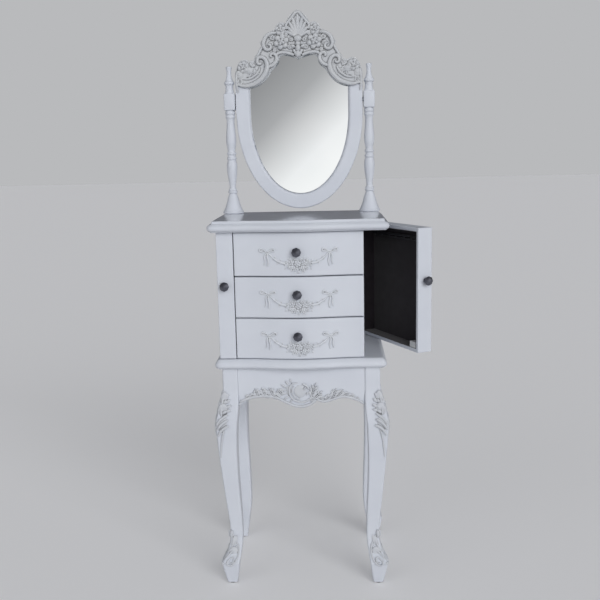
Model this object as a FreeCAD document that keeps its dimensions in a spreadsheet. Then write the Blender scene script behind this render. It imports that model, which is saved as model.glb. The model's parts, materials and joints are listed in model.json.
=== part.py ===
import FreeCAD, Part
import os
import re

import Sketcher

Vector = FreeCAD.Vector

# Driving dimensions in millimetres, angles in degrees
driving_sizes = {
    # stand
    "stand_height": 549.5,  # floor to the underside of the base panel
    "stand_inset": 3.3,  # closed door's face back to a leg's side face
    "stand_depth_inset": 1.5,  # cabinet's back to a back leg's face
    "leg_block": 37.0,  # side of the square block at the head of a leg
    "leg_rounding": 4.0,  # radius on the leg's long edges
    "block_drop": 58.0,  # length of the square block
    "shoulder_drop": 94.5,  # base panel down to the section
    "shoulder_reach": 11.0,  # how far a section stands out past the block
    "shoulder_width": 47.5,
    "knee_drop": 134.5,
    "knee_reach": 17.5,
    "knee_width": 50.0,
    "shin_drop": 249.5,
    "shin_reach": 11.5,
    "shin_width": 41.0,
    "ankle_height": 138.0,
    "ankle_reach": -4.5,
    "ankle_width": 31.0,
    "instep_height": 94.0,
    "instep_reach": 1.5,
    "instep_width": 32.0,
    "toe_height": 58.0,
    "toe_reach": 16.7,
    "toe_width": 41.0,
    "sole_reach": 6.0,
    "sole_width": 25.0,
    "glide_height": 3.0,
    "glide_radius": 9.0,
    "apron_thickness": 18.0,
    "apron_setback": 2.0,  # leg face to apron face
    "apron_end_depth": 92.0,  # base panel down to the apron's edge at the legs
    "apron_haunch_depth": 76.0,  # half way between a leg and an arch
    "apron_arch_depth": 70.0,
    "apron_arch_place": 92.0,  # centre plane to the top of an arch
    "apron_side_depth": 84.0,  # on the slope between the left arch and the cartouche
    "apron_side_place": 39.0,
    "apron_drop_depth": 97.0,  # at the cartouche
    "apron_drop_side_depth": 91.0,
    "apron_drop_side_place": 19.0,
    "apron_notch_depth": 80.5,
    "apron_notch_place": 37.0,
    "apron_lobe_depth": 84.5,
    "apron_lobe_place": 53.0,
    "carving_relief": 5.0,  # how far the apron carving stands proud
    "carving_band": 9.0,  # width of the carved band along the apron's edge
    "cartouche_rise": 66.0,  # apron's lowest point to the top of the cartouche
    "cartouche_dip": 8.0,
    "cartouche_waist": 39.0,  # apron's lowest point to the cartouche's sides
    "cartouche_half_width": 40.0,
    "corner_block_leg": 42.0,  # length glued along each apron
    "corner_block_height": 40.0,
    # panels
    "base_thickness": 24.0,
    "base_side_overhang": 16.0,
    "base_front_overhang": 11.3,
    "base_back_overhang": 7.5,
    "base_edge_radius": 10.0,
    "panel_corner": 14.0,  # radius of the front corners in plan
    "top_thickness": 26.0,
    "top_lip": 17.0,  # height of the moulded lower layer
    "top_step": 11.5,  # the upper layer's set-back
    "top_edge_radius": 6.5,
    "top_side_overhang": 19.2,
    "top_front_overhang": 19.3,
    "top_back_overhang": 8.1,
    "bow_depth": 13.0,  # how far the front swells in the middle
    # cabinet and drawers
    "carcass_half_width": 151.5,  # centre plane to a side panel's outer face
    "carcass_back": 133.5,  # centre plane to the cabinet's back
    "side_thickness": 9.0,
    "back_thickness": 6.0,
    "front_face": 133.7,  # centre plane to the drawer fronts' ends
    "drawer_front_thickness": 21.5,  # at the ends
    "drawer_seat_gap": 0.3,  # drawer front to the side panels' edges
    "lower_drawer_height": 96.5,
    "middle_drawer_height": 96.5,
    "upper_drawer_height": 102.0,
    "drawer_gap": 2.2,
    "drawer_foot_gap": 1.0,
    "drawer_head_gap": 1.6,
    "drawer_side_gap": 1.0,
    "box_side_gap": 1.5,  # drawer box to the side panels
    "box_wall": 8.0,
    "box_lift": 11.0,  # drawer front's lower edge to the box
    "box_head_gap": 14.0,  # drawer front's upper edge down to the box
    "box_back_gap": 12.0,  # drawer box to the back panel
    "box_floor": 4.0,
    "box_floor_lift": 3.0,
    "lining_thickness": 2.0,
    "runner_height": 8.0,
    "runner_width": 11.0,
    "knob_rise": 56.5,  # drawer front's lower edge to the knob's centre
    "knob_shift": 4.2,  # the drawer knobs stand a little left of the middle
    "knob_radius": 11.2,
    "knob_dome": 6.0,
    "knob_rim": 3.0,
    "knob_neck_radius": 4.5,
    "knob_neck_length": 8.0,
    "knob_flange_radius": 7.0,
    "knob_flange_height": 2.0,
    "knob_screw_radius": 2.0,
    "knob_screw_depth": 8.0,
    "screw_head_radius": 4.0,
    "screw_head_height": 2.5,
    "screw_hole_gap": 0.2,
    "swag_relief": 4.0,
    "swag_bow_place": 73.0,  # centre plane to a ribbon bow's knot
    "swag_bow_reach": 18.0,
    "swag_tail": 38.0,  # knot down to the ribbon's end
    "swag_drop": 50.0,  # knob's centre to the lowest flower
    "swag_posy_half_width": 33.0,
    # side doors
    "door_depth": 38.8,
    "door_gap": 1.0,  # side panel to a closed door
    "door_end_gap": 1.2,  # above and below a door
    "door_skin": 5.0,
    "door_wall": 9.0,
    "door_lining": 1.2,
    "right_door_angle": 28.0,  # how far the right door stands open
    "door_knob_height": 176.0,  # base panel to the door knobs
    "door_knob_place": 22.4,  # carcass side to the door knobs' axis
    "hinge_offset": 3.4,  # cabinet back to the hinge axis
    "hinge_barrel_radius": 3.0,
    "hinge_pin_radius": 1.5,
    "hinge_pin_gap": 0.05,
    "hinge_length": 40.0,
    "hinge_knuckle": 14.0,  # length of the moving knuckle
    "hinge_knuckle_gap": 0.3,
    "hinge_leaf_thickness": 1.2,
    "hinge_leaf_gap": 0.4,  # barrel to the other leaf
    "hinge_moving_leaf": 24.0,
    "hinge_inset": 62.0,  # door end to a hinge's middle
    "hook_rail_height": 12.0,
    "hook_rail_thickness": 3.0,
    "hook_rail_drop": 16.0,  # tray ceiling to the hook rail
    "hook_rail_inset": 22.0,  # tray ends to the hook rail
    "hook_length": 15.0,
    "hook_radius": 1.4,
    "hook_tip_radius": 2.4,
    "hook_tip_length": 2.0,
    "catch_length": 25.0,
    "catch_height": 14.0,
    "catch_depth": 16.0,
    "strike_thickness": 0.7,
    # mirror
    "post_edge": 31.6,  # top panel's back edge to the posts' axes
    "post_foot_radius": 26.0,
    "post_foot_step": 8.0,
    "post_foot_length": 30.0,
    "post_foot_top_radius": 15.0,
    "post_collar_rise": 15.0,
    "post_collar_radius": 10.8,
    "post_collar_length": 9.0,
    "post_neck_rise": 7.0,
    "post_neck_radius": 8.1,
    "post_lower_belly_rise": 48.0,
    "post_belly_radius": 12.7,
    "post_lower_top_rise": 26.0,
    "post_lower_top_radius": 11.8,
    "post_ring_radius": 13.2,
    "post_ring_length": 9.0,
    "post_ring_waist_radius": 10.6,
    "post_upper_belly_rise": 18.0,
    "post_waist_rise": 58.0,
    "post_waist_radius": 10.0,
    "post_cap_rise": 14.0,
    "post_cap_radius": 12.3,
    "post_cap_length": 18.0,
    "post_block_length": 42.0,
    "post_block_half": 14.0,
    "post_block_chamfer": 4.0,
    "post_finial_neck_radius": 9.9,
    "post_finial_neck_length": 19.0,
    "post_finial_rise": 8.0,
    "post_finial_radius": 12.9,
    "post_tip_neck_rise": 22.0,
    "post_tip_neck_radius": 5.5,
    "post_tip_rise": 17.0,
    "post_tip_radius": 7.5,
    "tenon_radius": 9.0,
    "tenon_length": 15.0,
    "tenon_gap": 0.1,
    "pivot_radius": 3.0,
    "pivot_depth": 12.0,  # pin's length inside the post, and inside the frame
    "pivot_gap": 0.05,
    "pivot_collar_radius": 6.0,
    "pivot_collar_gap": 0.3,
    "bush_radius": 5.0,
    "mirror_half_width": 159.5,
    "mirror_side_gap": 2.5,  # frame to a post
    "mirror_floor_gap": 11.0,  # top panel to the frame's lowest point
    "mirror_waist": 33.0,  # pivot down to where the sides start to curve in
    "frame_rail": 36.0,
    "frame_bottom_rail": 37.5,
    "frame_thickness": 20.0,
    "shoulder_rise": 36.0,  # pivot to the corners of the glass
    "arch_rise": 113.0,  # pivot to the top of the glass
    "arch_dip": 9.0,  # centre drop below the top of the glass
    "crest_rise": 218.0,  # pivot to the top of the crest
    "crest_relief": 9.0,
    "crest_boss_relief": 5.0,
    "crest_flower_radius": 13.0,
    "crest_rosette_radius": 15.0,
    "rebate": 5.0,  # glass hidden behind the frame all round
    "glass_thickness": 4.0,
    "backing_thickness": 3.0,
    "button_length": 26.0,
    "button_width": 10.0,
    "button_thickness": 2.0,
}

doc = FreeCAD.newDocument("jewelry_cabinet")
sheet = doc.addObject("Spreadsheet::Sheet", "sizes")
for row, (alias, number) in enumerate(driving_sizes.items(), start=1):
    sheet.set(f"A{row}", alias.replace("_", " "))
    sheet.set(f"B{row}", str(number))
    sheet.setAlias(f"B{row}", alias)
doc.recompute()

# Levels and places that several pieces share
base_top = "(stand_height + base_thickness)"
drawer_levels = {"lower": f"({base_top} + drawer_foot_gap)"}
drawer_levels["middle"] = f"({drawer_levels['lower']} + lower_drawer_height + drawer_gap)"
drawer_levels["upper"] = f"({drawer_levels['middle']} + middle_drawer_height + drawer_gap)"
carcass_top = f"({drawer_levels['upper']} + upper_drawer_height + drawer_head_gap)"
top_surface = f"({carcass_top} + top_thickness)"
door_face = "(carcass_half_width + door_gap + door_depth)"
stand_half_width = f"({door_face} - stand_inset)"
stand_half_depth = "(carcass_back - stand_depth_inset)"
apron_half_length = f"({stand_half_width} - leg_block)"
apron_half_depth = f"({stand_half_depth} - leg_block)"
apron_face = f"({stand_half_depth} - apron_setback)"
side_apron_face = f"({stand_half_width} - apron_setback)"
box_front = "(front_face - drawer_front_thickness)"
carcass_front = f"({box_front} - drawer_seat_gap)"
carcass_inside = "(carcass_half_width - side_thickness)"
back_inside = "(carcass_back - back_thickness)"
box_half_width = f"({carcass_inside} - box_side_gap)"
box_back = f"({back_inside} - box_back_gap)"
drawer_half_width = "(carcass_half_width - drawer_side_gap)"
hinge_axis_back = "(carcass_back + hinge_offset)"
door_low = f"({base_top} + door_end_gap)"
door_high = f"({carcass_top} - door_end_gap)"
post_block_rise = (
    "(post_foot_step + post_foot_length + post_collar_rise + post_collar_length + post_neck_rise"
    " + post_lower_belly_rise + post_lower_top_rise + post_ring_length + post_upper_belly_rise"
    " + post_waist_rise + post_cap_rise + post_cap_length)"
)
pivot_rise = f"({post_block_rise} + post_block_length / 2)"
pivot_level = f"({top_surface} + {pivot_rise})"
post_back = "(carcass_back + top_back_overhang - post_edge)"
post_inner_face = "(mirror_half_width + mirror_side_gap)"
post_place = f"({post_inner_face} + post_block_half)"
mirror_drop = f"({pivot_rise} - mirror_floor_gap)"
glass_half_width = "(mirror_half_width - frame_rail)"
frame_face = "(frame_thickness / 2)"
opening_depth = f"({mirror_drop} - mirror_waist - frame_bottom_rail)"


def full(expression):
    # leads each size's name with its sheet
    return re.sub(r"[a-z]\w*", lambda m: f"sizes.{m[0]}" if m[0] in driving_sizes else m[0], expression)


def num(expression):
    return float(sheet.evalExpression(full(str(expression))))


def bind(piece, **properties):
    for name, expression in properties.items():
        piece.setExpression(name.replace("__", "."), full(str(expression)))


def place(piece, x="0", y="0", z="0"):
    bind(piece, Placement__Base__x=x, Placement__Base__y=y, Placement__Base__z=z)
    return piece


def block(name, x, y, z):
    # x, y and z are each a pair of expressions, in either order
    box = doc.addObject("Part::Box", name)
    for side, axis, ends in zip(("Length", "Width", "Height"), "xyz", (x, y, z)):
        low, high = sorted(ends, key=num)
        bind(box, **{side: f"({high}) - ({low})", f"Placement__Base__{axis}": low})
    return box


def rod(name, radius, length, start, direction):
    bar = doc.addObject("Part::Cylinder", name)
    bar.Placement = FreeCAD.Placement(Vector(), FreeCAD.Rotation(Vector(0, 0, 1), Vector(*direction)))
    bind(bar, Radius=radius, Height=length)
    return place(bar, *start)


def group(label, pieces):
    # separate solids that share one name
    whole = doc.addObject("Part::Compound", label)
    whole.Links = pieces
    return whole


def fuse(label, pieces):
    whole = doc.addObject("Part::MultiFuse", label)
    whole.Shapes = pieces
    return whole


def boolean(kind, label, base, tool):
    result = doc.addObject(f"Part::{kind}", label)
    result.Base = base
    result.Tool = tool
    return result


def new_body(label):
    return doc.addObject("PartDesign::Body", label)


def new_sketch(body, name, role, offset="0"):
    plane = next(f for f in body.Origin.OriginFeatures if f.Role == role)
    sketch = body.newObject("Sketcher::SketchObject", f"{body.Name}_{name}")
    sketch.AttachmentSupport = [(plane, "")]
    sketch.MapMode = "FlatFace"
    bind(sketch, AttachmentOffset__Base__z=offset)
    return sketch


def flat(point):
    return Vector(num(point[0]), num(point[1]), 0)


def hold(sketch, geometry, position, point):
    # ties one point of a line or curve to its two expressions
    for kind, expression in zip(("DistanceX", "DistanceY"), point):
        rule = Sketcher.Constraint(kind, -1, 1, geometry, position, num(expression))
        sketch.setExpression(f"Constraints[{sketch.addConstraint(rule)}]", full(str(expression)))


def nearest_end(sketch, geometry, point):
    return min((1, 2), key=lambda end: sketch.getPoint(geometry, end).distanceToPoint(flat(point)))


def curve_through(points):
    if len(points) == 2:
        return Part.LineSegment(*points)
    if len(points) == 3:
        return Part.Arc(*points)
    curve = Part.BSplineCurve()
    curve.interpolate(points)
    return curve


def trace(sketch, start, *steps):
    # closed outline: a step of one point is a line, of two an arc through the first, of more a smooth curve
    first = sketch.GeometryCount
    starts = [start] + [step[-1] for step in steps[:-1]]
    for here, step in zip(starts, steps):
        sketch.addGeometry(curve_through([flat(p) for p in (here, *step)]), False)
    for index, corner in enumerate(starts):
        geometry = first + index
        before = first + (index - 1) % len(starts)
        end = nearest_end(sketch, geometry, corner)
        end_before = 3 - nearest_end(sketch, before, starts[index - 1])
        sketch.addConstraint(Sketcher.Constraint("Coincident", before, end_before, geometry, end))
        hold(sketch, geometry, end, corner)


def ring(sketch, centre, radius):
    circle = sketch.addGeometry(Part.Circle(flat(centre), Vector(0, 0, 1), num(radius)), False)
    hold(sketch, circle, 3, centre)
    rule = Sketcher.Constraint("Radius", circle, num(radius))
    sketch.setExpression(f"Constraints[{sketch.addConstraint(rule)}]", full(str(radius)))


def feature(body, kind, sketch, **properties):
    made = body.newObject(f"PartDesign::{kind}", f"{sketch.Name}_{kind}")
    made.Profile = sketch
    bind(made, **properties)
    return made


def pocket(body, sketch, length, reverse):
    doc.recompute()
    before = body.Shape.Volume
    made = feature(body, "Pocket", sketch, Length=length)
    made.Reversed = reverse
    doc.recompute()
    if body.Shape.Volume >= before:
        raise ValueError(f"{sketch.Name} cuts nothing")


def revolve(body, sketch):
    made = feature(body, "Revolution", sketch)
    made.ReferenceAxis = (sketch, ["V_Axis"])
    made.Angle = 360
    return made


def backwards(start, steps):
    ends = [start] + [step[-1] for step in steps]
    return [(*reversed(step[:-1]), ends[i]) for i, step in reversed(list(enumerate(steps)))]


def flipped(point):
    return (f"-({point[0]})", point[1])


def other_half(start, steps):
    # the left half of a symmetrical outline, from the right half's end back to its start
    return backwards(flipped(start), [tuple(flipped(p) for p in step) for step in steps])


def bowed_front(half_width, front):
    # serpentine line from left to right: hollow, swell, hollow, in three tangent arcs
    radius = f"((({half_width})^2 + bow_depth^2) / (4 * bow_depth))"
    quarter_rise = f"({radius} - sqrt({radius}^2 - (({half_width}) / 4)^2))"
    hollow = f"-(({front}) + {quarter_rise})"
    turn = f"-(({front}) + bow_depth / 2)"
    return [
        ((f"-({half_width}) * 3 / 4", hollow), (f"-({half_width}) / 2", turn)),
        (("0", f"-(({front}) + bow_depth)"), (f"({half_width}) / 2", turn)),
        ((f"({half_width}) * 3 / 4", hollow), (half_width, f"-({front})")),
    ]


def panel_outline(sketch, half_width, front, back):
    bend = "(panel_corner * (1 - sqrt(0.5)))"
    corner_side, corner_front = f"({half_width} - panel_corner)", f"-({front} - panel_corner)"
    trace(
        sketch,
        (f"-{half_width}", back),
        ((f"-{half_width}", corner_front),),
        ((f"-({half_width} - {bend})", f"-({front} - {bend})"), (f"-{corner_side}", f"-{front}")),
        (("-carcass_half_width", f"-{front}"),),
        *bowed_front("carcass_half_width", front),
        ((corner_side, f"-{front}"),),
        ((f"{half_width} - {bend}", f"-({front} - {bend})"), (half_width, corner_front)),
        ((half_width, back),),
        ((f"-{half_width}", back),),
    )


def round_edges(body, base, levels, radius):
    # rounds the front and side edges that lie at the given levels
    doc.recompute()
    names = []
    for index, edge in enumerate(base.Shape.Edges, start=1):
        box = edge.BoundBox
        level = any(abs(box.ZMin - z) < 0.01 and abs(box.ZMax - z) < 0.01 for z in levels)
        along_back = abs(box.YMin - base.Shape.BoundBox.YMax) < 0.01
        if level and not along_back:
            names.append(f"Edge{index}")
    fillet = body.newObject("PartDesign::Fillet", f"{base.Name}_round")
    fillet.Base = (base, names)
    bind(fillet, Radius=radius)
    return fillet


# Stand
def leg_section(body, name, level, reach, width):
    sketch = new_sketch(body, name, "XY_Plane", level)
    far_x, far_y = f"({stand_half_width} + {reach})", f"-({stand_half_depth} + {reach})"
    near_x, near_y = f"({far_x} - {width})", f"({far_y} + {width})"
    soft, bend = "leg_rounding", "(leg_rounding * (1 - sqrt(0.5)))"
    trace(
        sketch,
        (f"{near_x} + {soft}", far_y),
        ((f"{far_x} - {soft}", far_y),),
        ((f"{far_x} - {bend}", f"{far_y} + {bend}"), (far_x, f"{far_y} + {soft}")),
        ((far_x, f"{near_y} - {soft}"),),
        ((f"{far_x} - {bend}", f"{near_y} - {bend}"), (f"{far_x} - {soft}", near_y)),
        ((f"{near_x} + {soft}", near_y),),
        ((f"{near_x} + {bend}", f"{near_y} - {bend}"), (near_x, f"{near_y} - {soft}")),
        ((near_x, f"{far_y} + {soft}"),),
        ((f"{near_x} + {bend}", f"{far_y} + {bend}"), (f"{near_x} + {soft}", far_y)),
    )
    return sketch


def mirrored(label, source, normal):
    copy = doc.addObject("Part::Mirroring", label)
    copy.Source = source
    copy.Normal = Vector(*normal)
    return copy


def make_legs():
    leg = new_body("front_right_leg")
    block_end = "(stand_height - block_drop)"
    head = leg_section(leg, "head", block_end, "0", "leg_block")
    feature(leg, "Pad", head, Length="block_drop")
    sections = [leg_section(leg, "block_end", block_end, "0", "leg_block")]
    for part in ("shoulder", "knee", "shin"):
        level = f"(stand_height - {part}_drop)"
        sections.append(leg_section(leg, part, level, f"{part}_reach", f"{part}_width"))
    for part in ("ankle", "instep", "toe"):
        sections.append(leg_section(leg, part, f"{part}_height", f"{part}_reach", f"{part}_width"))
    curve = feature(leg, "AdditiveLoft", sections[0])
    curve.Sections = sections[1:]
    tip = leg_section(leg, "toe_tip", "toe_height", "toe_reach", "toe_width")
    sole = leg_section(leg, "sole", "glide_height", "sole_reach", "sole_width")
    taper = feature(leg, "AdditiveLoft", tip)
    taper.Sections = [sole]
    taper.Ruled = True
    front_left = mirrored("front_left_leg", leg, (1, 0, 0))
    return [
        leg,
        front_left,
        mirrored("back_right_leg", leg, (0, 1, 0)),
        mirrored("back_left_leg", front_left, (0, 1, 0)),
    ]


def corner_signs():
    return [(side, end) for side in ("", "-") for end in ("", "-")]


def make_glides():
    foot_x = f"({stand_half_width} + sole_reach - sole_width / 2)"
    foot_y = f"({stand_half_depth} + sole_reach - sole_width / 2)"
    glides = [
        rod(f"glide_{i}", "glide_radius", "glide_height", (side + foot_x, end + foot_y, "0"), (0, 0, 1))
        for i, (side, end) in enumerate(corner_signs())
    ]
    return group("foot_glides", glides)


def apron_edge(lift="0"):
    # lower edge from right to left: an arch, a small lobe and notch, the cartouche drop, an arch
    def at(x, depth):
        return (x, f"stand_height - {depth} + {lift}")

    haunch = f"({apron_half_length} + apron_arch_place) / 2"
    start = at(apron_half_length, "apron_end_depth")
    right_arch = (
        at(haunch, "apron_haunch_depth"),
        at("apron_arch_place", "apron_arch_depth"),
        at("apron_lobe_place", "apron_lobe_depth"),
        at("apron_notch_place", "apron_notch_depth"),
    )
    drop_and_left_arch = (
        at("apron_drop_side_place", "apron_drop_side_depth"),
        at("0", "apron_drop_depth"),
        at("-apron_side_place", "apron_side_depth"),
        at("-apron_arch_place", "apron_arch_depth"),
        at(f"-({haunch})", "apron_haunch_depth"),
        at(f"-{apron_half_length}", "apron_end_depth"),
    )
    return start, right_arch, drop_and_left_arch


def scribed(label, board, legs):
    # the board's ends are shaped to the legs that it meets
    return boolean("Cut", label, board, legs)


def make_front_apron(legs):
    apron = new_body("front_apron_board")
    sketch = new_sketch(apron, "outline", "XZ_Plane", f"{apron_face} - apron_thickness")
    start, *edge = apron_edge()
    trace(
        sketch,
        start,
        *edge,
        ((f"-{apron_half_length}", "stand_height"),),
        ((apron_half_length, "stand_height"),),
        (start,),
    )
    feature(apron, "Pad", sketch, Length="apron_thickness")
    return scribed("front_apron", apron, legs)


def make_apron_carving():
    # a carved band along the scalloped edge, with a cartouche over the drop
    carving = new_body("apron_carving")
    sketch = new_sketch(carving, "outline", "XZ_Plane", apron_face)
    start, *edge = apron_edge()
    band_start, band_right, band_left = apron_edge("carving_band")
    lowest = "(stand_height - apron_drop_depth)"
    crown, waist = f"{lowest} + cartouche_rise", f"{lowest} + cartouche_waist"
    lobe = [
        (("cartouche_half_width / 2", crown), ("cartouche_half_width", waist)),
        (band_right[1],),
        (band_right[0], band_start),
    ]
    trace(
        sketch,
        start,
        *edge,
        (band_left[-1],),
        (band_left[-2], band_left[-3]),
        (("-cartouche_half_width", waist),),
        (("-cartouche_half_width / 2", crown), ("0", f"{crown} - cartouche_dip")),
        *lobe,
        (start,),
    )
    feature(carving, "Pad", sketch, Length="carving_relief")
    return carving


def make_plain_apron(label, half_length, role, offset, legs):
    # a straight board with one long arch below
    apron = new_body(f"{label}_board")
    sketch = new_sketch(apron, "outline", role, offset)
    low, high = "stand_height - apron_end_depth", "stand_height - apron_arch_depth"
    trace(
        sketch,
        (f"-{half_length}", "stand_height"),
        ((f"-{half_length}", low),),
        (("0", high), (half_length, low)),
        ((half_length, "stand_height"),),
        ((f"-{half_length}", "stand_height"),),
    )
    feature(apron, "Pad", sketch, Length="apron_thickness")
    return scribed(label, apron, legs)


def make_stand():
    legs = make_legs()
    leg_set = group("leg_set", legs)
    right_inner_face = f"{side_apron_face} - apron_thickness"
    return [
        *legs,
        make_glides(),
        make_front_apron(leg_set),
        make_apron_carving(),
        make_plain_apron("back_apron", apron_half_length, "XZ_Plane", f"-{apron_face}", leg_set),
        make_plain_apron("left_apron", apron_half_depth, "YZ_Plane", f"-{side_apron_face}", leg_set),
        make_plain_apron("right_apron", apron_half_depth, "YZ_Plane", right_inner_face, leg_set),
        make_corner_blocks(),
    ]


def make_corner_blocks():
    # each is glued behind two aprons and round the leg's inner corner
    inner_x, inner_y = f"({side_apron_face} - apron_thickness)", f"({apron_face} - apron_thickness)"
    far_x, far_y = f"({apron_half_length} - corner_block_leg)", f"({apron_half_depth} - corner_block_leg)"
    plan = [
        (apron_half_length, apron_half_depth),
        (apron_half_length, inner_y),
        (far_x, inner_y),
        (inner_x, far_y),
        (inner_x, apron_half_depth),
    ]
    blocks = []
    for i, (side, end) in enumerate(corner_signs()):
        body = new_body(f"corner_block_{i}")
        sketch = new_sketch(body, "plan", "XY_Plane", "stand_height - corner_block_height")
        outline = [(side + x, end + y) for x, y in plan]
        trace(sketch, outline[0], *[(p,) for p in outline[1:]], (outline[0],))
        feature(body, "Pad", sketch, Length="corner_block_height")
        blocks.append(body)
    return group("corner_blocks", blocks)


# Panels
def make_base_panel():
    body = new_body("base_panel")
    sketch = new_sketch(body, "outline", "XY_Plane", "stand_height")
    half_width = f"({stand_half_width} + base_side_overhang)"
    front, back = "(front_face + base_front_overhang)", "(carcass_back + base_back_overhang)"
    panel_outline(sketch, half_width, front, back)
    slab = feature(body, "Pad", sketch, Length="base_thickness")
    levels = [num("stand_height"), num(base_top)]
    round_edges(body, slab, levels, "min(base_edge_radius; base_thickness * 0.45; panel_corner * 0.9)")
    return body


def make_top_panel():
    # a moulded lower layer and a set-back upper layer, with sockets for the posts
    body = new_body("top_panel")
    half_width = f"({door_face} + top_side_overhang)"
    front, back = "(front_face + top_front_overhang)", "(carcass_back + top_back_overhang)"
    lip = new_sketch(body, "lip", "XY_Plane", carcass_top)
    panel_outline(lip, half_width, front, back)
    feature(body, "Pad", lip, Length="top_lip")
    upper = new_sketch(body, "upper", "XY_Plane", f"{carcass_top} + top_lip")
    panel_outline(upper, f"({half_width} - top_step)", f"({front} - top_step)", back)
    slab = feature(body, "Pad", upper, Length="top_thickness - top_lip")
    levels = [num(carcass_top), num(top_surface)]
    rounding = "min(top_edge_radius; (top_thickness - top_lip) * 0.9; top_lip * 0.9; panel_corner * 0.9)"
    round_edges(body, slab, levels, rounding)
    sockets = new_sketch(body, "sockets", "XY_Plane", top_surface)
    for side in ("", "-"):
        ring(sockets, (side + post_place, post_back), "tenon_radius + tenon_gap")
    pocket(body, sockets, "tenon_length", False)
    return body


# Cabinet and drawers
def make_carcass():
    upright = ((f"-{carcass_front}", "carcass_back"), (base_top, carcass_top))
    across = (f"-{carcass_inside}", carcass_inside)
    pieces = [block("back_panel", across, (back_inside, "carcass_back"), upright[1])]
    runners = []
    for name, side in (("left", "-"), ("right", "")):
        thickness = (side + carcass_inside, side + "carcass_half_width")
        pieces.append(block(f"{name}_side_panel", thickness, *upright))
        for drawer, level in drawer_levels.items():
            top = f"({level} + box_lift)"
            width = (f"{side}({carcass_inside} - runner_width)", side + carcass_inside)
            depth = (f"-{carcass_front}", back_inside)
            runners.append(block(f"{name}_{drawer}_runner", width, depth, (f"{top} - runner_height", top)))
    return [*pieces, group("drawer_runners", runners)]


def make_drawer_front(drawer, level, height):
    body = new_body(f"{drawer}_drawer_front")
    sketch = new_sketch(body, "plan", "XY_Plane", level)
    trace(
        sketch,
        (f"-{drawer_half_width}", f"-{box_front}"),
        ((f"-{drawer_half_width}", "-front_face"),),
        *bowed_front(drawer_half_width, "front_face"),
        ((drawer_half_width, f"-{box_front}"),),
        ((f"-{drawer_half_width}", f"-{box_front}"),),
    )
    feature(body, "Pad", sketch, Length=height)
    hole = new_sketch(body, "screw_hole", "XZ_Plane", box_front)
    ring(hole, ("-knob_shift", f"{level} + knob_rise"), "knob_screw_radius + screw_hole_gap")
    pocket(body, hole, "drawer_front_thickness + bow_depth", True)
    return body


def make_drawer_box(drawer, level, height):
    low, high = f"({level} + box_lift)", f"({level} + {height} - box_head_gap)"
    inner = f"({box_half_width} - box_wall)"
    inner_back = f"({box_back} - box_wall)"
    floor_low = f"({low} + box_floor_lift)"
    floor_top = f"({floor_low} + box_floor)"
    across, along = (f"-{inner}", inner), (f"-{box_front}", inner_back)
    plates = []
    for name, side in (("left", "-"), ("right", "")):
        wall = (side + inner, side + box_half_width)
        plates.append(block(f"{drawer}_box_{name}", wall, (f"-{box_front}", box_back), (low, high)))
    plates.append(block(f"{drawer}_box_back", across, (inner_back, box_back), (low, high)))
    plates.append(block(f"{drawer}_box_floor", across, along, (floor_low, floor_top)))
    lining = block(f"{drawer}_drawer_lining", across, along, (floor_top, f"{floor_top} + lining_thickness"))
    return [group(f"{drawer}_drawer_box", plates), lining]


def make_knob_head(name):
    # turned about its own axis, with a blind hole for the screw
    body = new_body(name)
    sketch = new_sketch(body, "profile", "XZ_Plane")
    rim_low = "(knob_flange_height + knob_neck_length)"
    rim_high = f"({rim_low} + knob_rim)"
    crown = f"({rim_high} + knob_dome)"
    trace(
        sketch,
        ("knob_screw_radius", "0"),
        (("knob_flange_radius", "0"),),
        (("knob_flange_radius", "knob_flange_height"),),
        (("knob_neck_radius", "knob_flange_height + knob_neck_length / 3"),),
        (("knob_neck_radius", "knob_flange_height + knob_neck_length * 2 / 3"),),
        (("knob_radius", rim_low),),
        (("knob_radius", rim_high),),
        (("knob_radius * 0.7", f"{rim_high} + knob_dome * 0.7"), ("knob_radius * 0.1", crown)),
        (("0", crown),),
        (("0", "knob_screw_depth"),),
        (("knob_screw_radius", "knob_screw_depth"),),
        (("knob_screw_radius", "0"),),
    )
    revolve(body, sketch)
    return body


def make_knob(label, wall):
    # wall is what the screw passes through, behind the knob's flange
    up = (0, 0, 1)
    shank_length = f"{wall} + knob_screw_depth"
    shank = rod(f"{label}_shank", "knob_screw_radius", shank_length, ("0", "0", f"-({wall})"), up)
    head_start = ("0", "0", f"-({wall} + screw_head_height)")
    head = rod(f"{label}_screw_head", "screw_head_radius", "screw_head_height", head_start, up)
    knob = group(label, [make_knob_head(f"{label}_head"), fuse(f"{label}_screw", [shank, head])])
    knob.Placement = FreeCAD.Placement(Vector(), FreeCAD.Rotation(Vector(1, 0, 0), 90))
    return knob


def swag_outline():
    # right half from the top of the posy round the garland, ribbon bow and tail to its foot
    knot = "swag_bow_place"
    tip = "(swag_bow_place + swag_bow_reach)"
    near_tip = "(swag_bow_place - swag_bow_reach)"
    posy = "swag_posy_half_width"
    return ("0", "-swag_drop * 0.24"), [
        ((f"{posy} * 0.6", "-swag_drop * 0.22"), (posy, "-swag_drop * 0.4")),
        ((f"({posy} + {knot}) / 2", "-swag_drop * 0.35"), (f"{knot} - 6", "-3")),
        ((near_tip, "4"),),
        ((f"{near_tip} + 2", "10"),),
        ((knot, "5"),),
        ((tip, "11"),),
        ((tip, "3"),),
        ((f"{knot} + 4", "-3"),),
        ((f"{knot} + 8", "-swag_tail + 2"),),
        ((f"{knot} + 1", "-swag_tail"),),
        ((f"{knot} - 2", "-9"),),
        ((f"({posy} + {knot}) / 2", "-swag_drop * 0.53"), (posy, "-swag_drop * 0.66")),
        ((f"{posy} * 0.6", "-swag_drop * 0.94"), ("0", "-swag_drop")),
    ]


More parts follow.
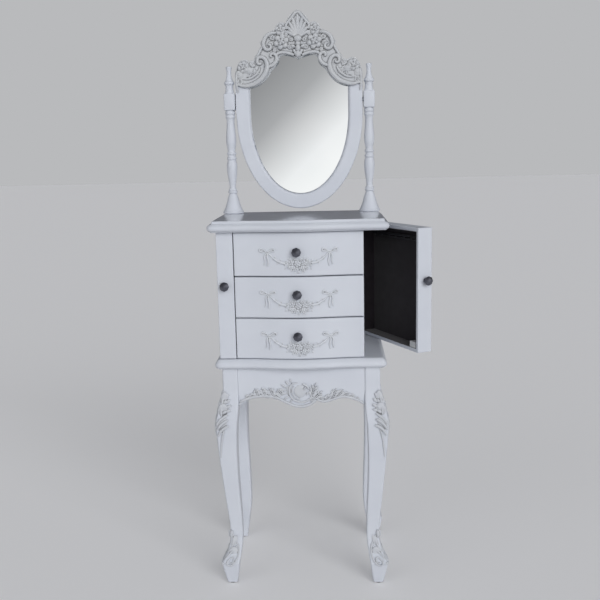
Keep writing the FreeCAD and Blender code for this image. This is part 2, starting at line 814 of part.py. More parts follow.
def make_swag(drawer, level, height):
    # the swag's outline pushed through a skin that follows the bowed front
    skin = new_body(f"{drawer}_swag_skin")
    sketch = new_sketch(skin, "plan", "XY_Plane", level)
    outer = "front_face + swag_relief"
    left, outer_left = (f"-{drawer_half_width}", "-front_face"), (f"-{drawer_half_width}", f"-({outer})")
    trace(
        sketch,
        left,
        *bowed_front(drawer_half_width, "front_face"),
        ((drawer_half_width, f"-({outer})"),),
        *backwards(outer_left, bowed_front(drawer_half_width, outer)),
        (left,),
    )
    feature(skin, "Pad", sketch, Length=height)
    stamp = new_body(f"{drawer}_swag_stamp")
    outline = new_sketch(stamp, "outline", "XZ_Plane", box_front)
    start, steps = swag_outline()
    trace(outline, start, *steps, *other_half(start, steps))
    feature(stamp, "Pad", outline, Length="drawer_front_thickness + bow_depth + 2 * swag_relief")
    place(stamp, z=f"{level} + knob_rise")
    return boolean("Common", f"{drawer}_drawer_swag", skin, stamp)


def make_drawers():
    pieces = []
    for drawer, level in drawer_levels.items():
        height = f"{drawer}_drawer_height"
        knob = make_knob(f"{drawer}_drawer_knob", "drawer_front_thickness + bow_depth")
        place(knob, "-knob_shift", "-(front_face + bow_depth)", f"{level} + knob_rise")
        pieces.append(make_drawer_front(drawer, level, height))
        pieces.extend(make_drawer_box(drawer, level, height))
        pieces.extend([knob, make_swag(drawer, level, height)])
    return pieces


# Side doors, drawn round their hinge axis and then hung on it
door_back = "(-hinge_offset)"
door_front = "(-hinge_offset - carcass_back - front_face)"
skin_inside = "(door_gap + door_depth - door_skin)"
tray_back, tray_front = f"({door_back} - door_wall)", f"({door_front} + door_wall)"
tray_low, tray_high = f"({door_low} + door_wall)", f"({door_high} - door_wall)"
tray_floor = f"({skin_inside} - door_lining)"
leaf_start = "(hinge_barrel_radius + hinge_leaf_gap)"


def hang(piece, side, angle):
    # stands the piece on its hinge axis; side is a sign
    piece.Placement = FreeCAD.Placement(Vector(), FreeCAD.Rotation(Vector(0, 0, 1), 1))
    bind(piece, Placement__Rotation__Angle=angle)
    return place(piece, f"{side}carcass_half_width", hinge_axis_back)


def make_door_tray(name, side):
    depth = (f"{side}door_gap", f"{side}{skin_inside}")
    height, ends = (door_low, door_high), (door_front, door_back)
    panel = block(f"{name}_skin", (f"{side}{skin_inside}", f"{side}(door_gap + door_depth)"), ends, height)
    rails = [
        block(f"{name}_front_rail", depth, (door_front, tray_front), height),
        block(f"{name}_back_rail", depth, (tray_back, door_back), height),
        block(f"{name}_low_rail", depth, (tray_front, tray_back), (door_low, tray_low)),
        block(f"{name}_high_rail", depth, (tray_front, tray_back), (tray_high, door_high)),
    ]
    screw_radius = "knob_screw_radius + screw_hole_gap"
    knob_at = (f"{side}door_knob_place", door_front, f"{base_top} + door_knob_height")
    hole = rod(f"{name}_knob_hole", screw_radius, "door_wall", knob_at, (0, 1, 0))
    rails[0] = boolean("Cut", f"{name}_drilled_rail", rails[0], hole)
    return group(f"{name}_panel", [panel]), group(f"{name}_frame", rails)


def make_door_lining(name, side):
    depth = (f"{side}door_gap", f"{side}{skin_inside}")
    outer = block(f"{name}_lining_outer", depth, (tray_front, tray_back), (tray_low, tray_high))
    inner = block(
        f"{name}_lining_inner",
        (f"{side}door_gap", f"{side}{tray_floor}"),
        (f"{tray_front} + door_lining", f"{tray_back} - door_lining"),
        (f"{tray_low} + door_lining", f"{tray_high} - door_lining"),
    )
    knob_at = (f"{side}door_knob_place", tray_front, f"{base_top} + door_knob_height")
    hole = rod(f"{name}_lining_hole", "screw_head_radius", "door_lining", knob_at, (0, 1, 0))
    hollow = fuse(f"{name}_lining_hollow", [inner, hole])
    return group(f"{name}_lining", [boolean("Cut", f"{name}_lining_tray", outer, hollow)])


def make_door_knob(name, side):
    knob = make_knob(f"{name}_knob_piece", "door_wall")
    place(knob, f"{side}door_knob_place", door_front, f"{base_top} + door_knob_height")
    return group(f"{name}_knob", [knob])


def make_door_hooks(name, side):
    rail_high = f"({tray_high} - hook_rail_drop)"
    rail_low = f"({rail_high} - hook_rail_height)"
    near = f"({tray_floor} - hook_rail_thickness)"
    hook_level = f"({rail_low} + hook_rail_height / 2)"
    ends = (f"{tray_front} + hook_rail_inset", f"{tray_back} - hook_rail_inset")
    pieces = [block(f"{name}_hook_rail", (side + near, side + tray_floor), ends, (rail_low, rail_high))]
    hook_count = 6
    for i in range(hook_count):
        share = (i + 0.5) / hook_count
        along = f"({ends[0]}) * {1 - share} + ({ends[1]}) * {share}"
        tip = (f"{side}({near} - hook_length)", along, hook_level)
        outward = (1, 0, 0) if side == "" else (-1, 0, 0)
        shank = rod(f"{name}_hook_shank_{i}", "hook_radius", "hook_length", tip, outward)
        button = rod(f"{name}_hook_tip_{i}", "hook_tip_radius", "hook_tip_length", tip, outward)
        pieces.append(fuse(f"{name}_hook_{i}", [shank, button]))
    return group(f"{name}_hooks", pieces)


def make_door_catch(name, side):
    depth = (f"{side}door_gap", f"{side}(door_gap + catch_depth)")
    front = f"({tray_front} + door_lining)"
    low = f"({tray_low} + door_lining)"
    along, height = (front, f"{front} + catch_length"), (low, f"{low} + catch_height")
    return group(f"{name}_catch", [block(f"{name}_catch_body", depth, along, height)])


def hinge_levels():
    return (f"({door_low} + hinge_inset)", f"({door_high} - hinge_inset)")


def hinge_barrel(name, level, low, high):
    # part of a knuckle, from low to high about the hinge's middle
    start = ("0", "0", f"{level} + {low}")
    outside = rod(f"{name}_outside", "hinge_barrel_radius", f"{high} - ({low})", start, (0, 0, 1))
    bore = rod(f"{name}_bore", "hinge_pin_radius + hinge_pin_gap", f"{high} - ({low})", start, (0, 0, 1))
    return boolean("Cut", name, outside, bore)


def leaf_plate(name, side, near, far, level, low, high):
    across = (f"{side}{near}", f"{side}{far}")
    through = ("-hinge_offset", "-hinge_offset + hinge_leaf_thickness")
    return block(name, across, through, (f"{level} + {low}", f"{level} + {high}"))


def make_moving_leaves(name, side):
    half, knuckle = "hinge_length / 2", "hinge_knuckle / 2"
    leaves = []
    for i, level in enumerate(hinge_levels()):
        barrel = hinge_barrel(f"{name}_knuckle_{i}", level, f"-{knuckle}", knuckle)
        plate = leaf_plate(f"{name}_leaf_{i}", side, leaf_start, "hinge_moving_leaf", level, f"-{half}", half)
        tab = leaf_plate(f"{name}_tab_{i}", side, "0", leaf_start, level, f"-{knuckle}", knuckle)
        leaves.append(fuse(f"{name}_moving_leaf_{i}", [barrel, plate, tab]))
    return group(f"{name}_hinge_leaves", leaves)


def make_fixed_hinges(name, side):
    # leaves on the side panel's back edge, and the pins that they hold
    other = "" if side == "-" else "-"
    half = "hinge_length / 2"
    knuckle = "(hinge_knuckle / 2 + hinge_knuckle_gap)"
    pieces = []
    for i, level in enumerate(hinge_levels()):
        plate = f"{name}_fixed_plate_{i}"
        parts = [leaf_plate(plate, other, leaf_start, "side_thickness", level, f"-{half}", half)]
        for end, low, high in (("low", f"-{half}", f"-{knuckle}"), ("high", knuckle, half)):
            parts.append(hinge_barrel(f"{name}_fixed_{end}_{i}", level, low, high))
            tab = f"{name}_fixed_{end}_tab_{i}"
            parts.append(leaf_plate(tab, other, "0", leaf_start, level, low, high))
        pieces.append(fuse(f"{name}_fixed_leaf_{i}", parts))
        start = ("0", "0", f"{level} - {half}")
        pieces.append(rod(f"{name}_pin_{i}", "hinge_pin_radius", "hinge_length", start, (0, 0, 1)))
    return group(f"{name}_fixed_hinges", pieces)


def make_doors():
    pieces, fixed, strikes = [], [], []
    for name, side, angle in (("left_door", "-", "0"), ("right_door", "", "right_door_angle")):
        door = [
            *make_door_tray(name, side),
            make_door_lining(name, side),
            make_door_knob(name, side),
            make_door_hooks(name, side),
            make_door_catch(name, side),
            make_moving_leaves(name, side),
        ]
        pieces.extend(hang(piece, side, angle) for piece in door)
        fixed.append(place(make_fixed_hinges(name, side), f"{side}carcass_half_width", hinge_axis_back))
        front = f"({hinge_axis_back} + {tray_front} + door_lining)"
        low = f"({tray_low} + door_lining)"
        across = (f"{side}carcass_half_width", f"{side}(carcass_half_width + strike_thickness)")
        along, height = (front, f"{front} + catch_length"), (low, f"{low} + catch_height")
        strikes.append(block(f"{name}_strike", across, along, height))
    return [*pieces, group("fixed_hinge_leaves", fixed), group("strike_plates", strikes)]


# Mirror and posts
def post_profile():
    # radius and height of each turned section, from the foot up
    sections = [
        ("post_foot_radius", "post_foot_step"),
        ("post_foot_top_radius", "post_foot_length"),
        ("post_collar_radius", "post_collar_rise"),
        ("post_collar_radius", "post_collar_length"),
        ("post_neck_radius", "post_neck_rise"),
        ("post_belly_radius", "post_lower_belly_rise"),
        ("post_lower_top_radius", "post_lower_top_rise"),
        ("post_ring_waist_radius", "post_ring_length"),
        ("post_belly_radius", "post_upper_belly_rise"),
        ("post_waist_radius", "post_waist_rise"),
        ("post_cap_radius", "post_cap_rise"),
        ("post_cap_radius", "post_cap_length"),
        ("post_finial_neck_radius", "post_block_length + post_finial_neck_length / 2"),
        ("post_finial_neck_radius", "post_finial_neck_length / 2"),
        ("post_finial_radius", "post_finial_rise"),
        ("post_tip_neck_radius", "post_tip_neck_rise"),
        ("post_tip_radius", "post_tip_rise"),
    ]
    height = "0"
    points = []
    for radius, rise in sections:
        height = f"{height} + {rise}"
        points.append((radius, height))
    return points


def make_post(label, side):
    body = new_body(label)
    sketch = new_sketch(body, "profile", "XZ_Plane")
    (foot, foot_top, collar, collar_top, neck, belly, lower_top, ring_top, upper_belly, waist, cap,
     cap_top, finial_neck, finial_start, finial, tip_neck, tip) = post_profile()
    ring_middle = ("post_ring_radius", f"{lower_top[1]} + post_ring_length / 2")
    trace(
        sketch,
        ("0", "-tenon_length"),
        (("tenon_radius", "-tenon_length"),),
        (("tenon_radius", "0"),),
        (("post_foot_radius", "0"),),
        (foot,),
        (foot_top,),
        (collar,),
        (collar_top,),
        (neck,),
        (belly, lower_top),
        (ring_middle, ring_top),
        (upper_belly,),
        (waist,),
        (cap,),
        (cap_top,),
        (finial_neck,),
        (finial_start,),
        (finial,),
        (tip_neck,),
        (tip,),
        (("0", tip[1]),),
        (("0", "-tenon_length"),),
    )
    revolve(body, sketch)
    square = new_sketch(body, "block", "XY_Plane", post_block_rise)
    half, short = "post_block_half", "(post_block_half - post_block_chamfer)"
    octagon = [(half, short), (short, half), (f"-{short}", half), (f"-{half}", short)]
    octagon += [(f"-({x})", f"-({y})") for x, y in octagon]
    trace(square, octagon[0], *[(p,) for p in octagon[1:]], (octagon[0],))
    feature(body, "Pad", square, Length="post_block_length")
    inner = "post_block_half" if side == "-" else "-post_block_half"
    hole = new_sketch(body, "pivot_hole", "YZ_Plane", inner)
    ring(hole, ("0", pivot_rise), "pivot_radius")
    pocket(body, hole, "pivot_depth", side != "-")
    return place(body, side + post_place, post_back, top_surface)


def make_pivots():
    pins, bushes = [], []
    for name, side, sign in (("left", "-", -1), ("right", "", 1)):
        out = (sign, 0, 0)
        inner_end = "(mirror_half_width - pivot_depth + pivot_collar_gap)"
        pin_start = (f"{side}{inner_end}", post_back, pivot_level)
        pin_length = f"{post_inner_face} + pivot_depth - {inner_end}"
        pin = rod(f"{name}_pin_shank", "pivot_radius", pin_length, pin_start, out)
        collar_start = (f"{side}(mirror_half_width + pivot_collar_gap)", post_back, pivot_level)
        collar_length = "mirror_side_gap - pivot_collar_gap"
        collar = rod(f"{name}_pin_collar", "pivot_collar_radius", collar_length, collar_start, out)
        pins.append(fuse(f"{name}_pivot_pin", [pin, collar]))
        bush_start = (f"{side}(mirror_half_width - pivot_depth)", post_back, pivot_level)
        outside = rod(f"{name}_bush_outside", "bush_radius", "pivot_depth", bush_start, out)
        bore = rod(f"{name}_bush_bore", "pivot_radius + pivot_gap", "pivot_depth", bush_start, out)
        bushes.append(boolean("Cut", f"{name}_pivot_bush", outside, bore))
    return [group("pivot_pins", pins), group("pivot_bushes", bushes)]


def half_ellipse(half_width, depth):
    # one smooth curve from the right waist under the frame to the left waist
    angles = range(15, 181, 15)
    return tuple((f"{half_width} * cos({a})", f"-mirror_waist - {depth} * sin({a})") for a in angles)


def arch_edge():
    # right half of the glass's upper edge, from its corner over the scrolls to the centre drop
    corner = (glass_half_width, "shoulder_rise")
    scroll_end = (f"{glass_half_width} - 54", "arch_rise - 38")
    leaf_end = (f"{glass_half_width} - 75", "arch_rise - 6")
    return corner, [
        ((f"{glass_half_width} - 31", "shoulder_rise + 11"), scroll_end),
        ((f"{glass_half_width} - 66", "arch_rise - 25"), leaf_end),
        (("35", "arch_rise + 1"), ("15", "arch_rise - 2")),
        (("8", "arch_rise - arch_dip + 2"), ("0", "arch_rise - arch_dip")),
    ]


def crest_edge():
    # right half of the crest, from the shell at the top down its scrolls to the corner rosette
    side = "mirror_half_width"
    return ("0", "crest_rise"), [
        (("17", "crest_rise - 11"), ("29", "crest_rise - 33")),
        (("43", "crest_rise - 29"), ("55", "crest_rise - 46")),
        (("71", "crest_rise - 52"), ("83", "crest_rise - 71")),
        (("91", "crest_rise - 86"), ("98", "crest_rise - 101")),
        ((f"{side} - 51", "crest_rise - 110"), (f"{side} - 50", "shoulder_rise + 53")),
        ((f"{side} - 46", "shoulder_rise + 50"), (f"{side} - 41", "shoulder_rise + 52")),
        ((f"{side} - 24", "shoulder_rise + 66"), (f"{side} - 9", "shoulder_rise + 52")),
        ((f"{side} - 3", "shoulder_rise + 42"), (side, "shoulder_rise + 30")),
    ]


def in_mirror(piece):
    return place(piece, "0", post_back, pivot_level)


def make_mirror_frame():
    body = new_body("mirror_frame")
    board = new_sketch(body, "board", "XZ_Plane", f"-{frame_face}")
    top, crest = crest_edge()
    waist = ("mirror_half_width", "-mirror_waist")
    curve = half_ellipse("mirror_half_width", f"({mirror_drop} - mirror_waist)")
    right_side = [*crest, (waist,)]
    trace(board, top, *right_side, curve, *other_half(top, right_side))
    corner, arch = arch_edge()
    glass_waist = (glass_half_width, "-mirror_waist")
    opening = half_ellipse(glass_half_width, opening_depth)
    trace(
        board,
        corner,
        *arch,
        *other_half(corner, arch),
        (flipped(glass_waist),),
        *backwards(glass_waist, [opening]),
        (corner,),
    )
    feature(body, "Pad", board, Length="frame_thickness")
    recess = new_sketch(body, "rebate", "XZ_Plane", f"-{frame_face}")
    glass_outline(recess)
    pocket(body, recess, "glass_thickness + backing_thickness", True)
    for name, side in (("left", "-"), ("right", "")):
        hole = new_sketch(body, f"{name}_bush_hole", "YZ_Plane", f"{side}mirror_half_width")
        ring(hole, ("0", "0"), "bush_radius")
        pocket(body, hole, "pivot_depth", side == "-")
    return in_mirror(body)


def glass_outline(sketch):
    # the opening's outline, grown by the rebate and simpler over the scrolls
    half_width = f"({glass_half_width} + rebate)"
    waist = (half_width, "-mirror_waist")
    top = ("0", "arch_rise + rebate + 4")
    shoulder = (half_width, "shoulder_rise + rebate + 3")
    arch_end = (f"{glass_half_width} - 71", "arch_rise + rebate + 1")
    right_side = [
        (arch_end,),
        ((f"{glass_half_width} - 27", "shoulder_rise + rebate + 37"), shoulder),
        (waist,),
    ]
    curve = half_ellipse(half_width, f"({opening_depth} + rebate)")
    trace(sketch, top, *right_side, curve, *other_half(top, right_side))


def make_crest():
    # the carved layer on the frame's head, with raised flowers, shell and rosettes
    body = new_body("crest_carving")
    sketch = new_sketch(body, "outline", "XZ_Plane", frame_face)
    top, crest = crest_edge()
    corner, arch = arch_edge()
    right_half = [*crest, (("mirror_half_width", "shoulder_rise + rebate"),), (corner,), *arch]
    trace(sketch, top, *right_half, *other_half(top, right_half))
    feature(body, "Pad", sketch, Length="crest_relief")
    bosses = new_sketch(body, "bosses", "XZ_Plane", f"{frame_face} + crest_relief")
    ring(bosses, ("0", "crest_rise - 2.8 * crest_flower_radius"), "1.3 * crest_flower_radius")
    for side in ("", "-"):
        flower = (f"{side}3 * crest_flower_radius", "crest_rise - 4.4 * crest_flower_radius")
        ring(bosses, flower, "crest_flower_radius")
        rosette_place = f"{side}(mirror_half_width - 1.5 * crest_rosette_radius)"
        ring(bosses, (rosette_place, "shoulder_rise + 2.4 * crest_rosette_radius"), "crest_rosette_radius")
    feature(body, "Pad", bosses, Length="crest_boss_relief")
    return in_mirror(body)


def make_plate(label, back, thickness):
    # a sheet cut to the rebate, its back face so far behind the pivot plane
    body = new_body(label)
    sketch = new_sketch(body, "outline", "XZ_Plane", f"-({back})")
    glass_outline(sketch)
    feature(body, "Pad", sketch, Length=thickness)
    return in_mirror(body)


def make_buttons():
    # turn buttons that hold the backing in from behind
    depth = (f"{post_back} + {frame_face}", f"{post_back} + {frame_face} + button_thickness")
    half_long, half_wide = "button_length / 2", "button_width / 2"
    edge = f"({glass_half_width} + rebate)"
    level = f"({pivot_level} - mirror_waist)"
    buttons = [
        block(f"{name}_button", (f"{side}({edge} - {half_long})", f"{side}({edge} + {half_long})"), depth,
              (f"{level} - {half_wide}", f"{level} + {half_wide}"))
        for name, side in (("left", "-"), ("right", ""))
    ]
    ends = {
        "top": f"({pivot_level} + arch_rise + rebate)",
        "bottom": f"({pivot_level} - mirror_waist - {opening_depth} - rebate)",
    }
    for name, middle in ends.items():
        height = (f"{middle} - {half_long}", f"{middle} + {half_long}")
        buttons.append(block(f"{name}_button", (f"-{half_wide}", half_wide), depth, height))
    return group("backing_turn_buttons", buttons)


def make_mirror():
    backing_front = f"{frame_face} - backing_thickness"
    return [
        make_mirror_frame(),
        make_crest(),
        make_plate("mirror_glass", backing_front, "glass_thickness"),
        make_plate("mirror_backing", frame_face, "backing_thickness"),
        make_buttons(),
    ]


nodes = [
    *make_stand(),
    make_base_panel(),
    *make_carcass(),
    make_top_panel(),
    *make_drawers(),
    *make_doors(),
    make_post("left_post", "-"),
    make_post("right_post", ""),
    *make_pivots(),
    *make_mirror(),
]
doc.recompute()

faulty = [item.Name for item in doc.Objects if {"Invalid", "Error"} & set(item.State)]
faulty += [node.Label for node in nodes if node.Shape.isNull() or not node.Shape.isValid()]
if faulty:
    raise RuntimeError(f"faulty objects: {faulty}")
os.makedirs("parts", exist_ok=True)
for node in nodes:
    node.Shape.exportStep(f"parts/{node.Label}.step")
    print(node.Label, len(node.Shape.Solids), round(node.Shape.Volume))
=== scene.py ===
import json
from math import cos, hypot, pi, radians, sin, sqrt

import bpy
from mathutils import Matrix, Vector


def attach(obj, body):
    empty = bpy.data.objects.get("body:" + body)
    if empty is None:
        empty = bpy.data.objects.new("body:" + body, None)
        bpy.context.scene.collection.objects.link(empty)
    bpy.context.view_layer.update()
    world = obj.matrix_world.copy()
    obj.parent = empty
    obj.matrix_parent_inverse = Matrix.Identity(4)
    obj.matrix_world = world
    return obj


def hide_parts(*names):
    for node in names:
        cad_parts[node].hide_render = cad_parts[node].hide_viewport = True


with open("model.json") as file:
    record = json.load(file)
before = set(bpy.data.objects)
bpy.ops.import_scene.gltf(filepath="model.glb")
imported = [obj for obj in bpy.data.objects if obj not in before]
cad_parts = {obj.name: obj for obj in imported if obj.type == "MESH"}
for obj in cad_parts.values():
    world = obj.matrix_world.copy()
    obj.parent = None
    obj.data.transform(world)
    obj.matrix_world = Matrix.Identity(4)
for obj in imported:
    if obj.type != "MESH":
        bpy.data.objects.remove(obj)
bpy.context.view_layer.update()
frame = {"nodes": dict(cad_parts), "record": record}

nodes = frame["nodes"]
scene = bpy.context.scene
mm = 0.001
reliefDepth = 0.2 * mm  # peel, pores and pits of every finish


# Materials
def linear(hexCode):
    parts = [int(hexCode[i : i + 2], 16) / 255 for i in (0, 2, 4)]
    return tuple(c / 12.92 if c <= 0.04045 else ((c + 0.055) / 1.055) ** 2.4 for c in parts) + (1.0,)


def addNode(tree, kind, settings=None, links=None):
    # settings name either a property of the node or one of its sockets
    node = tree.nodes.new("ShaderNode" + kind)
    for key, value in (settings or {}).items():
        if isinstance(key, str) and hasattr(node, key):
            setattr(node, key, value)
        else:
            node.inputs[key].default_value = value
    for key, source in (links or {}).items():
        tree.links.new(source, node.inputs[key])
    return node


def newMaterial(name, shading):
    material = bpy.data.materials.new(name)
    material.use_nodes = True
    tree = material.node_tree
    tree.nodes.clear()
    shader = addNode(tree, "BsdfPrincipled", shading)
    addNode(tree, "OutputMaterial", links={"Surface": shader.outputs["BSDF"]})
    place = addNode(tree, "TexCoord").outputs["Object"]
    return material, tree, shader, place


def blendColours(tree, factor, stops):
    ramp = addNode(tree, "ValToRGB", links={"Fac": factor})
    elements = ramp.color_ramp.elements
    while len(elements) < len(stops):
        elements.new(0.5)
    for element, (position, hexCode) in zip(elements, stops):
        element.position = position
        element.color = linear(hexCode)
    return ramp.outputs["Color"]


def mottled(name, look):
    # a surface with a faint drift of colour, a changing gloss and a fine relief
    material, tree, shader, place = newMaterial(name, look["shading"])
    cloud = {"Scale": 1 / (look["driftSize"] * mm), "Detail": 4.0}
    drift = addNode(tree, "TexNoise", cloud, {"Vector": place}).outputs["Fac"]
    colour = blendColours(tree, drift, list(zip((0.3, 0.7), look["colours"])))
    if "recess" in look:
        # glaze left in hollows and rubbed off ridges by hand, with painted shade darkening the same hollows
        deep, level = look["hollows"]
        edge = addNode(tree, "NewGeometry").outputs["Pointiness"]
        depth = addNode(tree, "MapRange", {"From Min": deep, "From Max": level}, {"Value": edge})
        glazeAndShade = blendColours(tree, depth.outputs["Result"], [(0.0, look["recess"]), (1.0, "FFFFFF")])
        settings = {"data_type": "RGBA", "blend_type": "MULTIPLY", "Factor": 1.0}
        colour = addNode(tree, "Mix", settings, {6: colour, 7: glazeAndShade}).outputs[2]
    tree.links.new(colour, shader.inputs["Base Color"])
    low, high = look["gloss"]
    gloss = addNode(tree, "MapRange", {"To Min": low, "To Max": high}, {"Value": drift})
    tree.links.new(gloss.outputs["Result"], shader.inputs["Roughness"])
    stretch = addNode(tree, "Mapping", {"Scale": look.get("stretch", (1, 1, 1))}, {"Vector": place})
    fine = {"Scale": 1 / (look["grainSize"] * mm), "Detail": 3.0}
    grain = addNode(tree, "TexNoise", fine, {"Vector": stretch.outputs["Vector"]}).outputs["Fac"]
    relief = addNode(tree, "Bump", {"Strength": look["relief"], "Distance": reliefDepth}, {"Height": grain})
    tree.links.new(relief.outputs["Normal"], shader.inputs["Normal"])
    return material


def planedPoplar():
    # flat-sawn boards: long soft bands with fine pores along the length
    look = {
        "bandSize": 14, "bandWarp": 0.6, "poreSize": 1.2, "relief": 0.25, "lengthwise": 0.08,
        "colours": [(0.3, "B4915F"), (0.5, "C9AB7C"), (0.72, "D8C097")],
    }
    material, tree, shader, place = newMaterial("planed poplar", {"Roughness": 0.6})
    stretch = addNode(tree, "Mapping", {"Scale": (1, look["lengthwise"], 1)}, {"Vector": place})
    along = {"Vector": stretch.outputs["Vector"]}
    bands = {"Scale": 1 / (look["bandSize"] * mm), "Detail": 5.0, "Distortion": look["bandWarp"]}
    band = addNode(tree, "TexNoise", bands, along).outputs["Fac"]
    tree.links.new(blendColours(tree, band, look["colours"]), shader.inputs["Base Color"])
    fine = {"Scale": 1 / (look["poreSize"] * mm), "Detail": 2.0}
    pores = addNode(tree, "TexNoise", fine, along).outputs["Fac"]
    relief = addNode(tree, "Bump", {"Strength": look["relief"], "Distance": reliefDepth}, {"Height": pores})
    tree.links.new(relief.outputs["Normal"], shader.inputs["Normal"])
    return material


# sprayed lacquer: cool white, satin, with a faint orange peel from the gun
satin = {
    "shading": {"IOR": 1.48},
    "colours": ("C4C8D1", "C9CDD5"),
    "driftSize": 90, "gloss": (0.36, 0.42), "grainSize": 3.0, "relief": 0.03,
}
lacquer = mottled("sprayed white lacquer", satin)
# the same lacquer rubbed down and polished on the top, so that it mirrors what stands on it
polish = mottled("polished white lacquer", {**satin, "gloss": (0.12, 0.15), "relief": 0.008})
# carved wood under the same lacquer: greyer, a tone that also stands in for the shade over the carving,
# with a dull glaze and painted shade left in the hollows
glazedAndShaded = {
    "shading": {"IOR": 1.48},
    "colours": ("B6B9BE", "BDBFC2"),
    # colour of the glaze and the painted shade in the hollows
    "recess": "787571",
    "hollows": (0.43, 0.495),
    "driftSize": 18, "gloss": (0.34, 0.46), "grainSize": 1.6, "relief": 0.08,
}
carvedLacquer = mottled("white carving with glaze and painted shade", glazedAndShaded)
# low ornament on the fronts and legs: nearer the boards' own white, still a little greyer to stand in for
# shade, with glaze and painted shade in the hollows
lowGlazeAndShade = {**glazedAndShaded, "colours": ("BABDC4", "C1C4C9"), "recess": "7A7773"}
lowRelief = mottled("white low relief with glaze and painted shade", lowGlazeAndShade)
# thin swags on the drawers: as white as the boards, with glaze and painted shade in the gaps alone
swagRelief = mottled("white swags with glaze and painted shade", {**glazedAndShaded, "colours": ("C5C9D0", "CCCFD5"), "recess": "787572"})
metal = {"Metallic": 1.0}
smallFinishes = {
    # rayon flock on card: a dead black pile that catches light only at a glance
    "black_velvet": {
        "name": "black rayon flock",
        "shading": {"Sheen Weight": 0.2, "Sheen Roughness": 0.5, "Specular IOR Level": 0.1},
        "colours": ("211D21", "2A262A"),
        "driftSize": 22, "gloss": (0.9, 1.0), "grainSize": 1.1, "relief": 0.5,
    },
    # cast pewter, darkened and rubbed back
    "pewter": {
        "name": "darkened cast pewter", "shading": metal, "colours": ("62646D", "7A7B84"),
        "driftSize": 5, "gloss": (0.34, 0.5), "grainSize": 1.0, "relief": 0.12,
    },
    # rolled brass, dulled by handling
    "brass": {
        "name": "rolled brass", "shading": metal, "colours": ("B8924A", "C7A35B"),
        "driftSize": 9, "gloss": (0.28, 0.42), "grainSize": 0.8, "stretch": (1, 1, 0.05), "relief": 0.15,
    },
    # zinc-plated steel with a drawn grain
    "steel": {
        "name": "zinc plated steel", "shading": metal, "colours": ("A2A5A9", "B4B7BA"),
        "driftSize": 8, "gloss": (0.26, 0.38), "grainSize": 0.8, "stretch": (1, 0.05, 1), "relief": 0.12,
    },
    # steel under satin black japan
    "blackened_steel": {
        "name": "black japanned steel", "shading": {}, "colours": ("1E1D20", "29282B"),
        "driftSize": 10, "gloss": (0.35, 0.5), "grainSize": 0.8, "relief": 0.08,
    },
    # silvered float glass: clear reflection with the least haze
    "mirror": {
        "name": "silvered float glass", "shading": metal, "colours": ("F1F4F4", "F5F7F7"),
        "driftSize": 120, "gloss": (0.0, 0.012), "grainSize": 90, "relief": 0.0,
    },
    # pressed hardboard, brown and fibrous
    "backing_board": {
        "name": "pressed hardboard", "shading": {}, "colours": ("6A4A30", "7E5B3D"),
        "driftSize": 7, "gloss": (0.6, 0.75), "grainSize": 1.4, "relief": 0.3,
    },
    # moulded nylon, dark and dull
    "glide_plastic": {
        "name": "moulded nylon", "shading": {}, "colours": ("2E2E30", "38383A"),
        "driftSize": 12, "gloss": (0.5, 0.6), "grainSize": 1.0, "relief": 0.1,
    },
    # moulded ABS, light grey
    "catch_plastic": {
        "name": "moulded grey ABS", "shading": {}, "colours": ("B9BABC", "C2C3C5"),
        "driftSize": 14, "gloss": (0.4, 0.5), "grainSize": 0.9, "relief": 0.08,
    },
}
slotFinish = {slot: mottled(look["name"], look) for slot, look in smallFinishes.items()}
slotFinish["white_painted_wood"] = lacquer
slotFinish["carved_white_wood"] = carvedLacquer
slotFinish["pale_drawer_wood"] = planedPoplar()
nodeSlot = {entry["node"]: entry["material_slot"] for entry in frame["record"]["subparts"]}
for node, slot in nodeSlot.items():
    for materialSlot in nodes[node].material_slots:
        materialSlot.material = slotFinish[slot]
print("finishes on", len(nodeSlot), "carried-over pieces")


# Small hand tools
def deselectAll():
    if bpy.context.object and bpy.context.object.mode != "OBJECT":
        bpy.ops.object.mode_set(mode="OBJECT")
    bpy.ops.object.select_all(action="DESELECT")


def pick(piece):
    deselectAll()
    piece.select_set(True)
    bpy.context.view_layer.objects.active = piece


def editAll(piece):
    pick(piece)
    bpy.ops.object.mode_set(mode="EDIT")
    bpy.ops.mesh.select_all(action="SELECT")


def leaveEdit():
    bpy.ops.object.mode_set(mode="OBJECT")


def applyModifier(piece, kind, settings):
    pick(piece)
    modifier = piece.modifiers.new(kind.lower(), kind)
    for key, value in settings.items():
        setattr(modifier, key, value)
    bpy.ops.object.modifier_apply(modifier=modifier.name)


def joinAll(pieces):
    deselectAll()
    for piece in pieces:
        piece.select_set(True)
    bpy.context.view_layer.objects.active = pieces[0]
    bpy.ops.object.join()
    return bpy.context.object


def finishPiece(piece, name, body, slot, replaced=(), smoothBelow=35, finish=None):
    piece.name = name
    piece.data.name = name
    pick(piece)
    bpy.ops.object.transform_apply(location=True, rotation=True, scale=True)
    bpy.ops.object.shade_smooth_by_angle(angle=radians(smoothBelow))
    piece.data.materials.clear()
    piece.data.materials.append(finish or slotFinish[slot])
    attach(piece, body)
    if replaced:
        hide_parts(*replaced)


def copyOf(piece, name):
    twin = bpy.data.objects.new(name, piece.data.copy())
    scene.collection.objects.link(twin)
    return twin


def meshCopy(node):
    # the solid's own surface, its loose triangles merged into faces
    piece = copyOf(nodes[node], node + "_copy")
    editAll(piece)
    bpy.ops.mesh.remove_doubles(threshold=0.005 * mm)
    bpy.ops.mesh.dissolve_limited(angle_limit=radians(0.6))
    leaveEdit()
    bpy.ops.mesh.customdata_custom_splitnormals_clear()
    return piece


